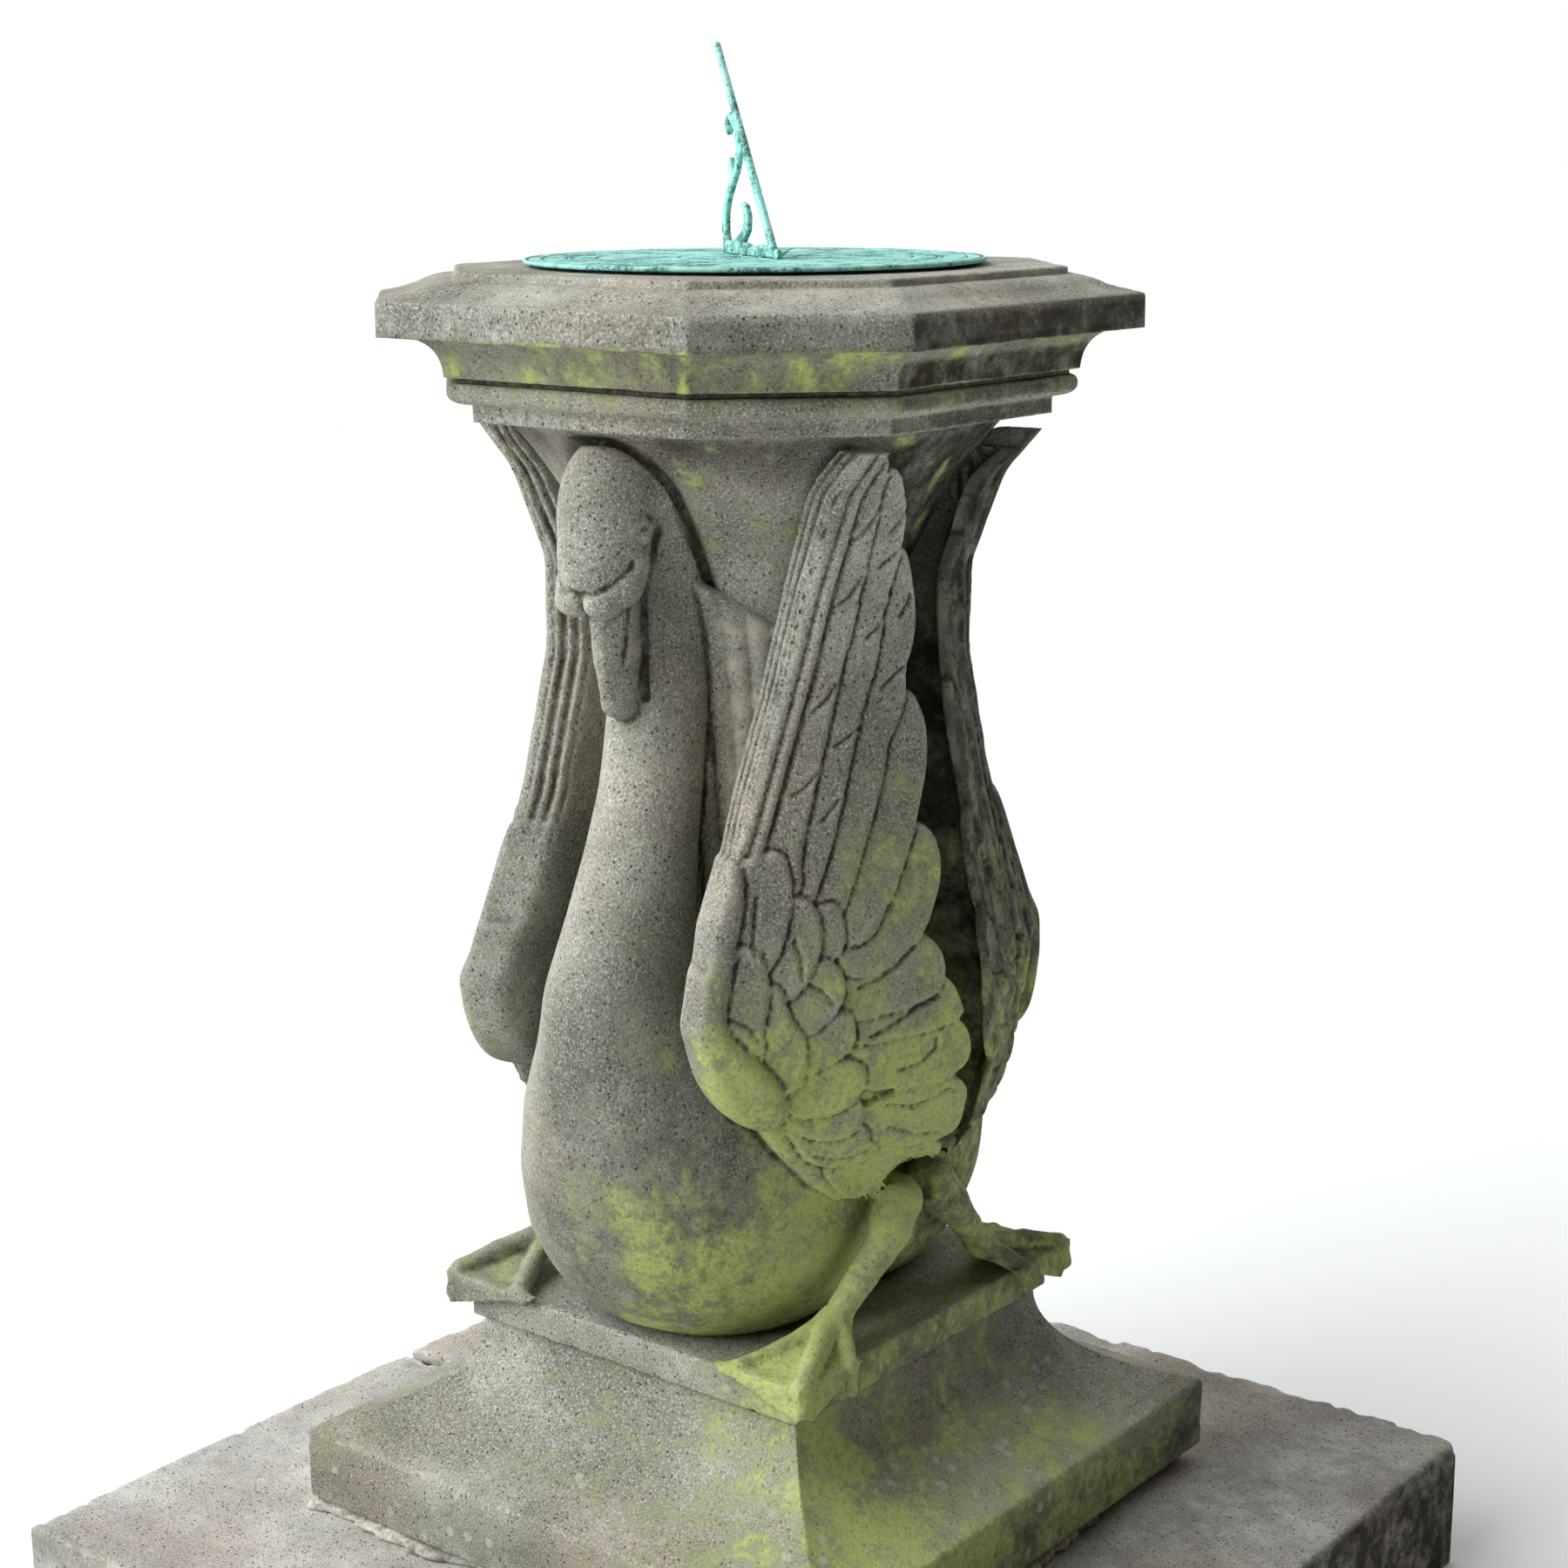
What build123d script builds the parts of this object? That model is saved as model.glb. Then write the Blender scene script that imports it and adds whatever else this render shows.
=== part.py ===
from build123d import *
import math
import os

# Garden sundial: a stone pedestal with two swans standing back to back, on a two-slab step,
# with a bronze dial plate and gnomon on its moulded cap.
# Millimetres, +Z up, origin at the centre of the step's underside. The front swan faces -Y.
# Heights in the pedestal are counted from the underside of the base block.

# Step of two slabs, and the mortar under the base block
STEP_HALF = 370
STEP_HEIGHT = 100
STEP_JOINT = 8
STEP_CORNER = 5
STEP_ARRIS = 2.5
STEP_MORTAR_INSET = 15
STEP_MORTAR_HEIGHT = 92
BED_HALF = 222
BED_HEIGHT = 8
GROUND = STEP_HEIGHT + BED_HEIGHT

# Base block: rounded nose, then a long hollow up to the joint under the plinth
NOSE_HALF = 231
NOSE_TOP = 55
NOSE_ROUND = 4
NOSE_ARRIS = 2
BASE_TOP_HALF = 140
BASE_TOP = 132
HOLLOW_TURN = (141.5, 84)
BASE_JOINT = 2.5
JOINT_INSET = 6

# Plinth and bell-shaped core
PLINTH_HALF = 146
PLINTH_TOP = 159
CORE_RADIUS = 86
CORE_TOP_RADIUS = 168
CORE_FLARE_START = 560

# Neck moulding and cap: heights, then distances from the axis to the sides and to the cut corners
NECK_BOTTOM = 769
NECK_FILLET_TOP = 780.5
ROLL_MIDDLE = 789
NECK_TOP = 795
NECK_SIDES = (177, 189.5)
NECK_CORNERS = (187.6, 204.4)
ROLL_SETBACK = 5
CAP_JOINT = 3
SOFFIT = 824
FASCIA_TOP = 845
OGEE_BOTTOM = 847
OGEE_MIDDLE = 852.5
FILLET_BOTTOM = 859
CAP_TOP = 864
CAP_SIDES = (190.5, 214, 222, 182.5)
CAP_CORNERS = (205.5, 236.5, 247, 196.8)
FASCIA_ARRIS = 1.5
CAP_JOINT_SIDES = (184,)
CAP_JOINT_CORNERS = (198,)

# Dial plate, its bed and its pegs set in lead
DIAL_RADIUS = 152.4
DIAL_THICKNESS = 3
DIAL_BED_RADIUS = 143
DIAL_BED_HEIGHT = 2
PEG_COUNT = 3
PEG_CIRCLE = 118
PEG_RADIUS = 4
PEG_LENGTH = 26
PLUG_RADIUS = 9
PLUG_LENGTH = 32

# Gnomon: its plane is turned from +X, and its foot stands back from the centre of the plate
LATITUDE = 52
GNOMON_TURN = 150
GNOMON_SETBACK = 42
GNOMON_THICKNESS = 5
STYLE_HEIGHT = 140
STYLE_DEPTH = 8
STYLE_TIP_RADIUS = 2.4
SCROLL_WIDTH = 7
FOOT_LENGTH = 99
FOOT_HEIGHT = 9
SCREW_RADIUS = 1.8
SCREW_HEAD_RADIUS = 3.6
SCREW_REACH = 6
SCREW_PLACES = (30, 66)

# Hidden dowels and pins
DOWEL_RADIUS = 10
DOWEL_HALF_LENGTH = 35
SWAN_PIN_RADIUS = 6
SWAN_PIN_START = 46
SWAN_PIN_LENGTH = 80
SWAN_PIN_HEIGHTS = (300, 470)

# Swans: half the gap between the two figures, and the webbed feet's top and bottom
SIDE_GAP = 7
FOOT_BOTTOM = 138
FOOT_THICKNESS = 36
WING_EDGE_WIDTH = 25
WING_BULGE = 12

# Breast, belly and neck: height, y of the centre, half width, half depth
TRUNK_ROWS = [
    (160, -50, 84, 88),
    (190, -52, 108, 117),
    (225, -58, 117, 133),
    (270, -62, 117, 139),
    (320, -80, 102, 122),
    (365, -114, 73, 86),
    (407, -149, 49, 49),
    (451, -136, 42, 41),
    (495, -123, 36, 36),
    (534, -113, 33, 33),
    (600, -101, 33, 34),
    (690, -97, 35, 36),
    (735, -106, 34, 35),
]

# Left wing: height, x and y of the leading edge, x of the rear edge
WING_ROWS = [
    (250, 112, -84, 140),
    (300, 112, -122, 172),
    (345, 106, -150, 185),
    (400, 99, -181, 180),
    (460, 91, -160, 168),
    (520, 91, -131, 160),
    (610, 97, -97, 143),
    (670, 107, -86, 141),
    (730, 133, -91, 150),
    (760, 166, -96, 170),
]

# Left foot: outline of the web, folded over the plinth's corner
WEB_OUTLINE = [
    (116, -80),
    (84, -144),
    (84, -155),
    (118, -155),
    (158, -164),
    (164, -158),
    (155, -118),
    (157, -96),
    (142, -74),
]

FOOTING = (Align.CENTER, Align.CENTER, Align.MIN)


def bar(outline, turn):
    """A long bar, turned about the axis, whose section is an outline and its mirror image."""
    section = make_face(outline + [mirror(edge, about=Plane.YZ) for edge in outline])
    return Rot(0, 0, turn) * extrude(Rot(90, 0, 0) * section, amount=STEP_HALF, both=True)


def moulded(outline, sides, corners=None):
    """A mitred moulding: the outline on four sides, and on four cut corners if they are given."""
    solid = bar(outline(*sides), 0) & bar(outline(*sides), 90)
    if corners:
        solid = solid & bar(outline(*corners), 45) & bar(outline(*corners), 135)
    return Pos(0, 0, GROUND) * solid


def block(half, bottom, top):
    """A square block about the axis between two heights of the pedestal."""
    return Pos(0, 0, GROUND + bottom) * Box(2 * half, 2 * half, top - bottom, align=FOOTING)


def rod(radius, bottom, top):
    """An upright cylinder on the axis between two heights of the pedestal."""
    return Pos(0, 0, GROUND + bottom) * Cylinder(radius, top - bottom, align=FOOTING)


def base_outline():
    """Slab-like foot with a rounded nose, then a long hollow rising to the joint."""
    nose_start = (NOSE_HALF, NOSE_TOP - NOSE_ROUND)
    nose_end = (NOSE_HALF - NOSE_ROUND, NOSE_TOP)
    rim = Polyline((0, 0), (NOSE_HALF - NOSE_ARRIS, 0), (NOSE_HALF, NOSE_ARRIS), nose_start)
    nose = Bezier(nose_start, (NOSE_HALF, NOSE_TOP), nose_end)
    hollow = Bezier(nose_end, HOLLOW_TURN, (BASE_TOP_HALF, BASE_TOP))
    return [*rim.edges(), nose, hollow, Line((BASE_TOP_HALF, BASE_TOP), (0, BASE_TOP))]


def neck_outline(fillet, roll):
    """Flat fillet below a rounded roll."""
    joint = roll - ROLL_SETBACK
    lower = Polyline((0, NECK_BOTTOM), (fillet, NECK_BOTTOM), (fillet, NECK_FILLET_TOP))
    under_roll = Bezier((fillet, NECK_FILLET_TOP), (roll, NECK_FILLET_TOP), (roll, ROLL_MIDDLE))
    over_roll = Bezier((roll, ROLL_MIDDLE), (roll, NECK_TOP), (joint, NECK_TOP))
    return [*lower.edges(), under_roll, over_roll, Line((joint, NECK_TOP), (0, NECK_TOP))]


def cap_outline(joint, soffit, fascia, fillet):
    """Hollow under a flat fascia, then a swept top up to a thin fillet."""
    bottom = NECK_TOP + CAP_JOINT
    arris = fascia - FASCIA_ARRIS
    middle = (fascia + fillet) / 2
    return [
        Line((0, bottom), (joint, bottom)),
        Bezier((joint, bottom), (joint + FASCIA_ARRIS, SOFFIT), (soffit, SOFFIT)),
        *Polyline((soffit, SOFFIT), (fascia, SOFFIT), (fascia, FASCIA_TOP), (arris, OGEE_BOTTOM)).edges(),
        Bezier((arris, OGEE_BOTTOM), ((arris + middle) / 2, OGEE_BOTTOM + 1), (middle, OGEE_MIDDLE)),
        Bezier((middle, OGEE_MIDDLE), ((fillet + middle) / 2, FILLET_BOTTOM), (fillet, FILLET_BOTTOM)),
        *Polyline((fillet, FILLET_BOTTOM), (fillet, CAP_TOP), (0, CAP_TOP)).edges(),
    ]


def cap_joint_outline(half):
    """Thin mortar bed, raked back from the faces."""
    top = NECK_TOP + CAP_JOINT
    return [*Polyline((0, NECK_TOP), (half, NECK_TOP), (half, top), (0, top)).edges()]


def step_slab(side):
    """One of the two slabs, on the front (-1) or back (1) of the joint between them."""
    depth = STEP_HALF - STEP_JOINT / 2
    slab = Box(2 * STEP_HALF, depth, STEP_HEIGHT, align=FOOTING)
    slab = chamfer(slab.edges().filter_by(Axis.Z), STEP_CORNER)
    slab = chamfer(slab.edges().group_by(Axis.Z)[-1], STEP_ARRIS)
    return Pos(0, side * (STEP_HALF + STEP_JOINT / 2) / 2, 0) * slab


def step_mortar():
    """Mortar in the joint between the slabs, raked back from their faces."""
    return Box(2 * (STEP_HALF - STEP_MORTAR_INSET), STEP_JOINT, STEP_MORTAR_HEIGHT, align=FOOTING)


def core_bell():
    """Round core that flares towards the neck moulding on an arc tangent to its straight part."""
    rise = NECK_BOTTOM - CORE_FLARE_START
    spread = CORE_TOP_RADIUS - CORE_RADIUS
    flare_radius = (rise**2 + spread**2) / (2 * spread)
    half_spread = flare_radius - math.sqrt(flare_radius**2 - (rise / 2) ** 2)
    flare = ThreePointArc(
        (CORE_RADIUS, CORE_FLARE_START),
        (CORE_RADIUS + half_spread, CORE_FLARE_START + rise / 2),
        (CORE_TOP_RADIUS, NECK_BOTTOM),
    )
    lower = Polyline((0, PLINTH_TOP), (CORE_RADIUS, PLINTH_TOP), (CORE_RADIUS, CORE_FLARE_START))
    upper = Polyline((CORE_TOP_RADIUS, NECK_BOTTOM), (0, NECK_BOTTOM), (0, PLINTH_TOP))
    outline = make_face([*lower.edges(), flare, *upper.edges()])
    return Pos(0, 0, GROUND) * revolve(Rot(90, 0, 0) * outline, Axis.Z)


def core():
    """Plinth, bell and neck moulding, one piece."""
    plinth = block(PLINTH_HALF, BASE_TOP + BASE_JOINT, PLINTH_TOP)
    return plinth + core_bell() + moulded(neck_outline, NECK_SIDES, NECK_CORNERS)


def limb(start, start_radius, end, end_radius):
    """A rounded tapering limb between two points given in pedestal heights."""
    lift = Vector(0, 0, GROUND)
    start = Vector(*start) + lift
    end = Vector(*end) + lift
    along = end - start
    cone = Solid.make_cone(start_radius, end_radius, along.length, Plane(origin=start, z_dir=along))
    return cone + Pos(*start) * Sphere(start_radius) + Pos(*end) * Sphere(end_radius)


def swan_trunk():
    """Breast, belly and neck, one loft."""
    sections = [
        Plane(origin=(0, centre, GROUND + height)) * Ellipse(half_width, half_depth)
        for height, centre, half_width, half_depth in TRUNK_ROWS
    ]
    return loft(sections)


def swan_head():
    """Bowed head, with the bill hanging down in front of the neck."""
    crown = limb((0, -106, 730), 34, (0, -148, 724), 32)
    face = limb((0, -151, 722), 31, (0, -156, 682), 27)
    bill = limb((0, -153, 676), 19, (0, -141, 598), 11)
    return crown + face + bill


def swan_wing(side):
    """Raised wing on the left (1) or right (-1) of the swan, faceted between its rows."""
    sections = []
    for height, lead_x, lead_y, rear_x in WING_ROWS:
        inner_x = lead_x - WING_EDGE_WIDTH
        corners = [
            (lead_x, lead_y),
            ((lead_x + rear_x) / 2 + WING_BULGE, lead_y / 2),
            (rear_x, -SIDE_GAP),
            (CORE_RADIUS / 2, -SIDE_GAP),
            (inner_x, lead_y / 2),
            (inner_x, lead_y + WING_EDGE_WIDTH / 5),
        ]
        outline = Polyline(*[(side * x, y) for x, y in corners], close=True)
        sections.append(Pos(0, 0, GROUND + height) * make_face(outline))
    return loft(sections, ruled=True)


def swan_leg(side):
    """Thigh, shank and the webbed foot that folds over the corner of the plinth."""
    thigh = limb((side * 132, -24, 246), 20, (side * 137, -42, 222), 14)
    shank = limb((side * 137, -42, 222), 14, (side * 129, -84, 180), 12)
    outline = Polyline(*[(side * x, y) for x, y in WEB_OUTLINE], close=True)
    web = Pos(0, 0, GROUND + FOOT_BOTTOM) * extrude(make_face(outline), amount=FOOT_THICKNESS)
    return thigh + shank + web


def front_half():
    """The space that the front swan may fill."""
    reach = 2 * STEP_HALF
    space = Box(reach, reach, NECK_BOTTOM, align=(Align.CENTER, Align.MAX, Align.MIN))
    return Pos(0, -SIDE_GAP, GROUND) * space


def swan(support):
    """The front swan, cut to sit against its support and clear of the other swan."""
    figure = swan_trunk() + swan_head()
    for side in (-1, 1):
        figure = figure + swan_wing(side) + swan_leg(side)
    return (figure & front_half()) - support


def swan_pins():
    """Pins through the joint between the core and each swan."""
    pin = Rot(90, 0, 0) * Cylinder(SWAN_PIN_RADIUS, SWAN_PIN_LENGTH, align=FOOTING)
    front = [Pos(0, -SWAN_PIN_START, GROUND + height) * pin for height in SWAN_PIN_HEIGHTS]
    return front + [Rot(0, 0, 180) * placed for placed in front]


def around(shape):
    """Copies of a shape on the circle of the dial's pegs."""
    turns = [30 + 360 * i / PEG_COUNT for i in range(PEG_COUNT)]
    return [Rot(0, 0, turn) * Pos(PEG_CIRCLE, 0, 0) * shape for turn in turns]


def gnomon_place(height):
    """Frame at the style's foot, with X along the plate towards the pole."""
    return Pos(0, 0, GROUND + height) * Rot(0, 0, GNOMON_TURN) * Pos(-GNOMON_SETBACK, 0, 0)


def gnomon_plate(face):
    """A gnomon piece of even thickness, drawn as distance along the dial and height above it."""
    dial_top = CAP_TOP + DIAL_BED_HEIGHT + DIAL_THICKNESS
    solid = extrude(face, amount=GNOMON_THICKNESS / 2, both=True)
    return gnomon_place(dial_top) * Rot(90, 0, 0) * solid


def style_face():
    """The straight style, tapering to a rounded tip, at the angle of the latitude."""
    reach = (STYLE_HEIGHT - STYLE_TIP_RADIUS) / math.sin(math.radians(LATITUDE))
    outline = Polyline(
        (0, 0),
        (reach, 0),
        (reach, -2 * STYLE_TIP_RADIUS),
        (0, -STYLE_DEPTH),
        (-STYLE_DEPTH, -STYLE_DEPTH),
        close=True,
    )
    tip = Pos(reach, -STYLE_TIP_RADIUS) * Circle(STYLE_TIP_RADIUS)
    above_dial = Rectangle(2 * reach, 2 * reach, align=(Align.CENTER, Align.MIN))
    return Rot(0, 0, LATITUDE) * (make_face(outline) + tip) & above_dial


def band(*points):
    """A strip of even width along a smooth line, with round ends."""
    line = Spline(*points)
    ends = [Pos(line @ end) * Circle(SCROLL_WIDTH / 2) for end in (0, 1)]
    return trace(line, SCROLL_WIDTH) + ends


def scroll_face():
    """Foot rail, the S-shaped scroll that props the style, its curled end, and a leaf at its foot."""
    rail_length = FOOT_LENGTH - STYLE_DEPTH
    rail = Pos(STYLE_DEPTH, 0) * Rectangle(rail_length, FOOT_HEIGHT, align=(Align.MIN, Align.MIN))
    stem = band((92, 5), (95, 25), (82, 46), (70, 59), (70, 74), (79, 88))
    curl = band((79, 88), (89, 90), (90, 80))
    leaf = band((80, 6), (60, 12), (53, 24), (60, 32))
    return rail + stem + curl + leaf


def gnomon_screw(along):
    """A screw from under the plate into the foot rail."""
    head = Cylinder(SCREW_HEAD_RADIUS, DIAL_BED_HEIGHT, align=FOOTING)
    shank = Pos(0, 0, DIAL_BED_HEIGHT) * Cylinder(SCREW_RADIUS, DIAL_THICKNESS + SCREW_REACH, align=FOOTING)
    return gnomon_place(CAP_TOP) * Pos(along, 0, 0) * (head + shank)


def step_pieces():
    """The step and the mortar on it."""
    return {
        "step_slab_front": step_slab(-1),
        "step_slab_rear": step_slab(1),
        "step_joint_mortar": step_mortar(),
        "bedding_mortar": block(BED_HALF, -BED_HEIGHT, 0),
    }


def pedestal_pieces(plugs):
    """Base block, shaft, swans and cap, with the dowels and mortar between them."""
    base_dowel = rod(DOWEL_RADIUS, BASE_TOP - DOWEL_HALF_LENGTH, BASE_TOP + DOWEL_HALF_LENGTH)
    cap_dowel = rod(DOWEL_RADIUS, NECK_TOP - DOWEL_HALF_LENGTH, NECK_TOP + DOWEL_HALF_LENGTH)
    pins = swan_pins()
    support = core()
    front_swan = swan(support) - pins
    base_joint = block(BASE_TOP_HALF - JOINT_INSET, BASE_TOP, BASE_TOP + BASE_JOINT)
    cap_joint = moulded(cap_joint_outline, CAP_JOINT_SIDES, CAP_JOINT_CORNERS)
    cap = moulded(cap_outline, CAP_SIDES, CAP_CORNERS)
    return {
        "base_block": moulded(base_outline, ()) - base_dowel,
        "base_dowel": base_dowel,
        "base_joint_mortar": base_joint - base_dowel,
        "shaft_core": support - base_dowel - cap_dowel - pins,
        "front_swan": front_swan,
        "rear_swan": Rot(0, 0, 180) * front_swan,
        "swan_pins": Compound(pins),
        "cap_joint_mortar": cap_joint - cap_dowel,
        "cap_dowel": cap_dowel,
        "cap_stone": cap - cap_dowel - plugs,
    }


def dial_pieces(plugs):
    """Plate, bed, pegs, plugs and gnomon."""
    plate_bottom = CAP_TOP + DIAL_BED_HEIGHT
    plate = rod(DIAL_RADIUS, plate_bottom, plate_bottom + DIAL_THICKNESS)
    bed = rod(DIAL_BED_RADIUS, CAP_TOP, plate_bottom)
    pegs = around(rod(PEG_RADIUS, CAP_TOP - PEG_LENGTH, plate_bottom))
    screws = [gnomon_screw(along) for along in SCREW_PLACES]
    style = gnomon_plate(style_face())
    return {
        "dial_plugs": Compound([plug - pegs for plug in plugs]),
        "dial_bed": bed - pegs - screws,
        "dial_pegs": Compound(pegs),
        "dial_plate": plate - screws,
        "gnomon_style": style,
        "gnomon_scroll": gnomon_plate(scroll_face()) - style - screws,
        "gnomon_screws": Compound(screws),
    }


def main():
    """Write one STEP file for each piece."""
    plugs = around(rod(PLUG_RADIUS, CAP_TOP - PLUG_LENGTH, CAP_TOP))
    pieces = step_pieces() | pedestal_pieces(plugs) | dial_pieces(plugs)
    os.makedirs("parts", exist_ok=True)
    for name, shape in pieces.items():
        export_step(shape, f"parts/{name}.step")


main()
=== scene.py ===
import math

import bpy
import numpy as np
from mathutils import Matrix, Vector


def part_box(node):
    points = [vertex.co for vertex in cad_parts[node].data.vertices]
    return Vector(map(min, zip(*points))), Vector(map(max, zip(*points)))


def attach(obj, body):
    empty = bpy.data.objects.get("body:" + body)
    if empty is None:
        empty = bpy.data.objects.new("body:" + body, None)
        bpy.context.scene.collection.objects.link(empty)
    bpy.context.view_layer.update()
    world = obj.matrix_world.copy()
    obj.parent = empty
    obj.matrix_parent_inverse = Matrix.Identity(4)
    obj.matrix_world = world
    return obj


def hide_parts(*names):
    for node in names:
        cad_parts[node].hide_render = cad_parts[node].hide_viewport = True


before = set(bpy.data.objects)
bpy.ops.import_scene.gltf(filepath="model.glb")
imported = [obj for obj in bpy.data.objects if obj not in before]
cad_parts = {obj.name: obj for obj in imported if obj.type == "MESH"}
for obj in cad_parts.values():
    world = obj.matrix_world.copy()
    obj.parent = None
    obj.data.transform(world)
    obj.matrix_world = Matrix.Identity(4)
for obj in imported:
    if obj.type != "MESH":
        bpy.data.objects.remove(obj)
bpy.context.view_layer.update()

# Everything is worked out in millimetres, with heights counted from the underside of the base block,
# and put in the frame's metres when a mesh is made.
MM = 0.001
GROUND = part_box("base_block")[0][2] / MM

# The plinth on which both swans stand
PLINTH_HALF = 146
PLINTH_TOP = 159


def box_mm(node):
    """The low and high corners of a CAD node's box, in millimetres over the base block's underside."""
    return [np.array(corner) / MM - (0, 0, GROUND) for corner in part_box(node)]


# ---------------------------------------------------------------- small numeric tools


def smooth_min(a, b, k):
    """Union of two distance fields with a fillet of about k."""
    h = np.clip(0.5 + 0.5 * (b - a) / k, 0, 1)
    return b + (a - b) * h - k * h * (1 - h)


def smooth_max(a, b, k):
    """Intersection of two distance fields with a rounded edge of about k."""
    return -smooth_min(-a, -b, k)


def ramp(x, low, high):
    """0 below low, 1 above high, eased between."""
    t = np.clip((x - low) / (high - low), 0, 1)
    return t * t * (3 - 2 * t)


NOISE_TABLE = 4096


def value_noise(points, size, seed):
    """Smooth noise from -1 to 1 with bumps of about the given size."""
    table = np.random.default_rng(seed).uniform(-1, 1, NOISE_TABLE).astype(np.float32)
    p = points / size
    cell = np.floor(p).astype(np.int64)
    t = (p - cell).astype(np.float32)
    t = t * t * (3 - 2 * t)
    total = np.zeros(len(points), np.float32)
    for corner in range(8):
        offset = np.array([corner & 1, corner >> 1 & 1, corner >> 2 & 1])
        key = (cell + offset) @ np.array([73856093, 19349663, 83492791])
        weight = np.prod(np.where(offset, t, 1 - t), axis=1)
        total += weight * table[key & (NOISE_TABLE - 1)]
    return total


def layered_noise(points, size, seed, layers=3):
    """Noise with finer and finer detail, from -1 to 1."""
    total = sum(value_noise(points, size / 2**i, seed + i) / 2**i for i in range(layers))
    return total / (2 - 0.5 ** (layers - 1))


def cloud(points, size, seed):
    """Layered noise from 0 to 1."""
    return 0.5 + 0.5 * layered_noise(points, size, seed)


# ---------------------------------------------------------------- meshes


def mesh_object(name, points, faces):
    """A mesh object from points in millimetres over the base block's underside."""
    mesh = bpy.data.meshes.new(name)
    coords = (np.asarray(points, np.float32) + np.array([0, 0, GROUND], np.float32)) * MM
    faces = np.asarray(faces, np.int32)
    sides = faces.shape[1]
    mesh.vertices.add(len(coords))
    mesh.vertices.foreach_set("co", coords.ravel())
    mesh.loops.add(faces.size)
    mesh.loops.foreach_set("vertex_index", faces.ravel())
    mesh.polygons.add(len(faces))
    mesh.polygons.foreach_set("loop_start", np.arange(0, faces.size, sides, dtype=np.int32))
    mesh.polygons.foreach_set("use_smooth", np.ones(len(faces), bool))
    mesh.update(calc_edges=True)
    mesh.validate()
    piece = bpy.data.objects.new(name, mesh)
    bpy.context.scene.collection.objects.link(piece)
    return piece


def surface_nets(field, low, step):
    """Quads on the zero surface of a distance field sampled on a regular grid."""
    inside = field < 0
    shape = np.array(field.shape)
    cells = shape - 1
    count = np.zeros(cells, np.uint8)
    corners = [(i, j, k) for i in (0, 1) for j in (0, 1) for k in (0, 1)]
    for i, j, k in corners:
        count += inside[i : i + cells[0], j : j + cells[1], k : k + cells[2]]
    active = np.argwhere((count > 0) & (count < 8))
    index = np.full(cells, -1, np.int32)
    index[tuple(active.T)] = np.arange(len(active))
    value = {c: field[tuple((active + np.array(c)).T)] for c in corners}
    total = np.zeros((len(active), 3), np.float32)
    hits = np.zeros(len(active), np.float32)
    for a in corners:
        for axis in range(3):
            if a[axis]:
                continue
            b = tuple(1 if n == axis else v for n, v in enumerate(a))
            crossing = (value[a] < 0) != (value[b] < 0)
            t = value[a] / np.where(crossing, value[a] - value[b], 1)
            place = np.repeat(np.array(a, np.float32)[None], len(active), 0)
            place[:, axis] = t
            total += place * crossing[:, None]
            hits += crossing
    points = (active + total / hits[:, None]) * step + low
    quads = []
    for axis in range(3):
        u, v = (axis + 1) % 3, (axis + 2) % 3
        first = np.take(inside, range(shape[axis] - 1), axis)
        second = np.take(inside, range(1, shape[axis]), axis)
        edges = np.argwhere(first != second)
        across = edges[:, [u, v]]
        edges = edges[((across > 0) & (across < cells[[u, v]])).all(1)]
        steps = np.zeros((4, 3), int)
        steps[1, u] = steps[2, u] = steps[2, v] = steps[3, v] = -1
        quad = np.stack([index[tuple((edges + s).T)] for s in steps], 1)
        outward = first[tuple(edges.T)]
        quad[~outward] = quad[~outward][:, ::-1]
        quads.append(quad)
    return points, np.concatenate(quads)


def object_arrays(piece):
    """Vertex points and normals of a mesh piece, in millimetres over the base block's underside."""
    count = len(piece.data.vertices)
    points = np.zeros(count * 3, np.float32)
    normals = np.zeros(count * 3, np.float32)
    piece.data.vertices.foreach_get("co", points)
    piece.data.vertices.foreach_get("normal", normals)
    return points.reshape(-1, 3) / MM - np.array([0, 0, GROUND], np.float32), normals.reshape(-1, 3)


def move_points(piece, points, node=None):
    """Write back a piece's points, kept inside a CAD node's box if one is named."""
    coords = (points + np.array([0, 0, GROUND])) * MM
    if node:
        coords = np.clip(coords, *(np.array(corner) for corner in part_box(node)))
    piece.data.vertices.foreach_set("co", coords.astype(np.float32).ravel())
    piece.data.update()


def paint(piece, **layers):
    """Store values from 0 to 1 at each vertex, under the names that the materials read."""
    for name, values in layers.items():
        layer = piece.data.attributes.new(name, "FLOAT", "POINT")
        layer.data.foreach_set("value", np.clip(values, 0, 1).astype(np.float32))


def curvature(piece, points, normals, rounds):
    """How hollow (above 0) or sharp (below 0) the surface is around each vertex, in millimetres."""
    count = len(points)
    edges = np.zeros(len(piece.data.edges) * 2, np.int32)
    piece.data.edges.foreach_get("vertices", edges)
    a, b = edges.reshape(-1, 2).T
    degree = np.bincount(a, minlength=count) + np.bincount(b, minlength=count)
    degree = np.maximum(degree, 1)
    mean = points.astype(np.float64)
    for _ in range(rounds):
        sums = [np.bincount(a, mean[b, n], count) + np.bincount(b, mean[a, n], count) for n in range(3)]
        mean = np.stack(sums, 1) / degree[:, None]
    return np.einsum("ij,ij->i", mean - points, normals)


# ---------------------------------------------------------------- stone blocks and mouldings


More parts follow.
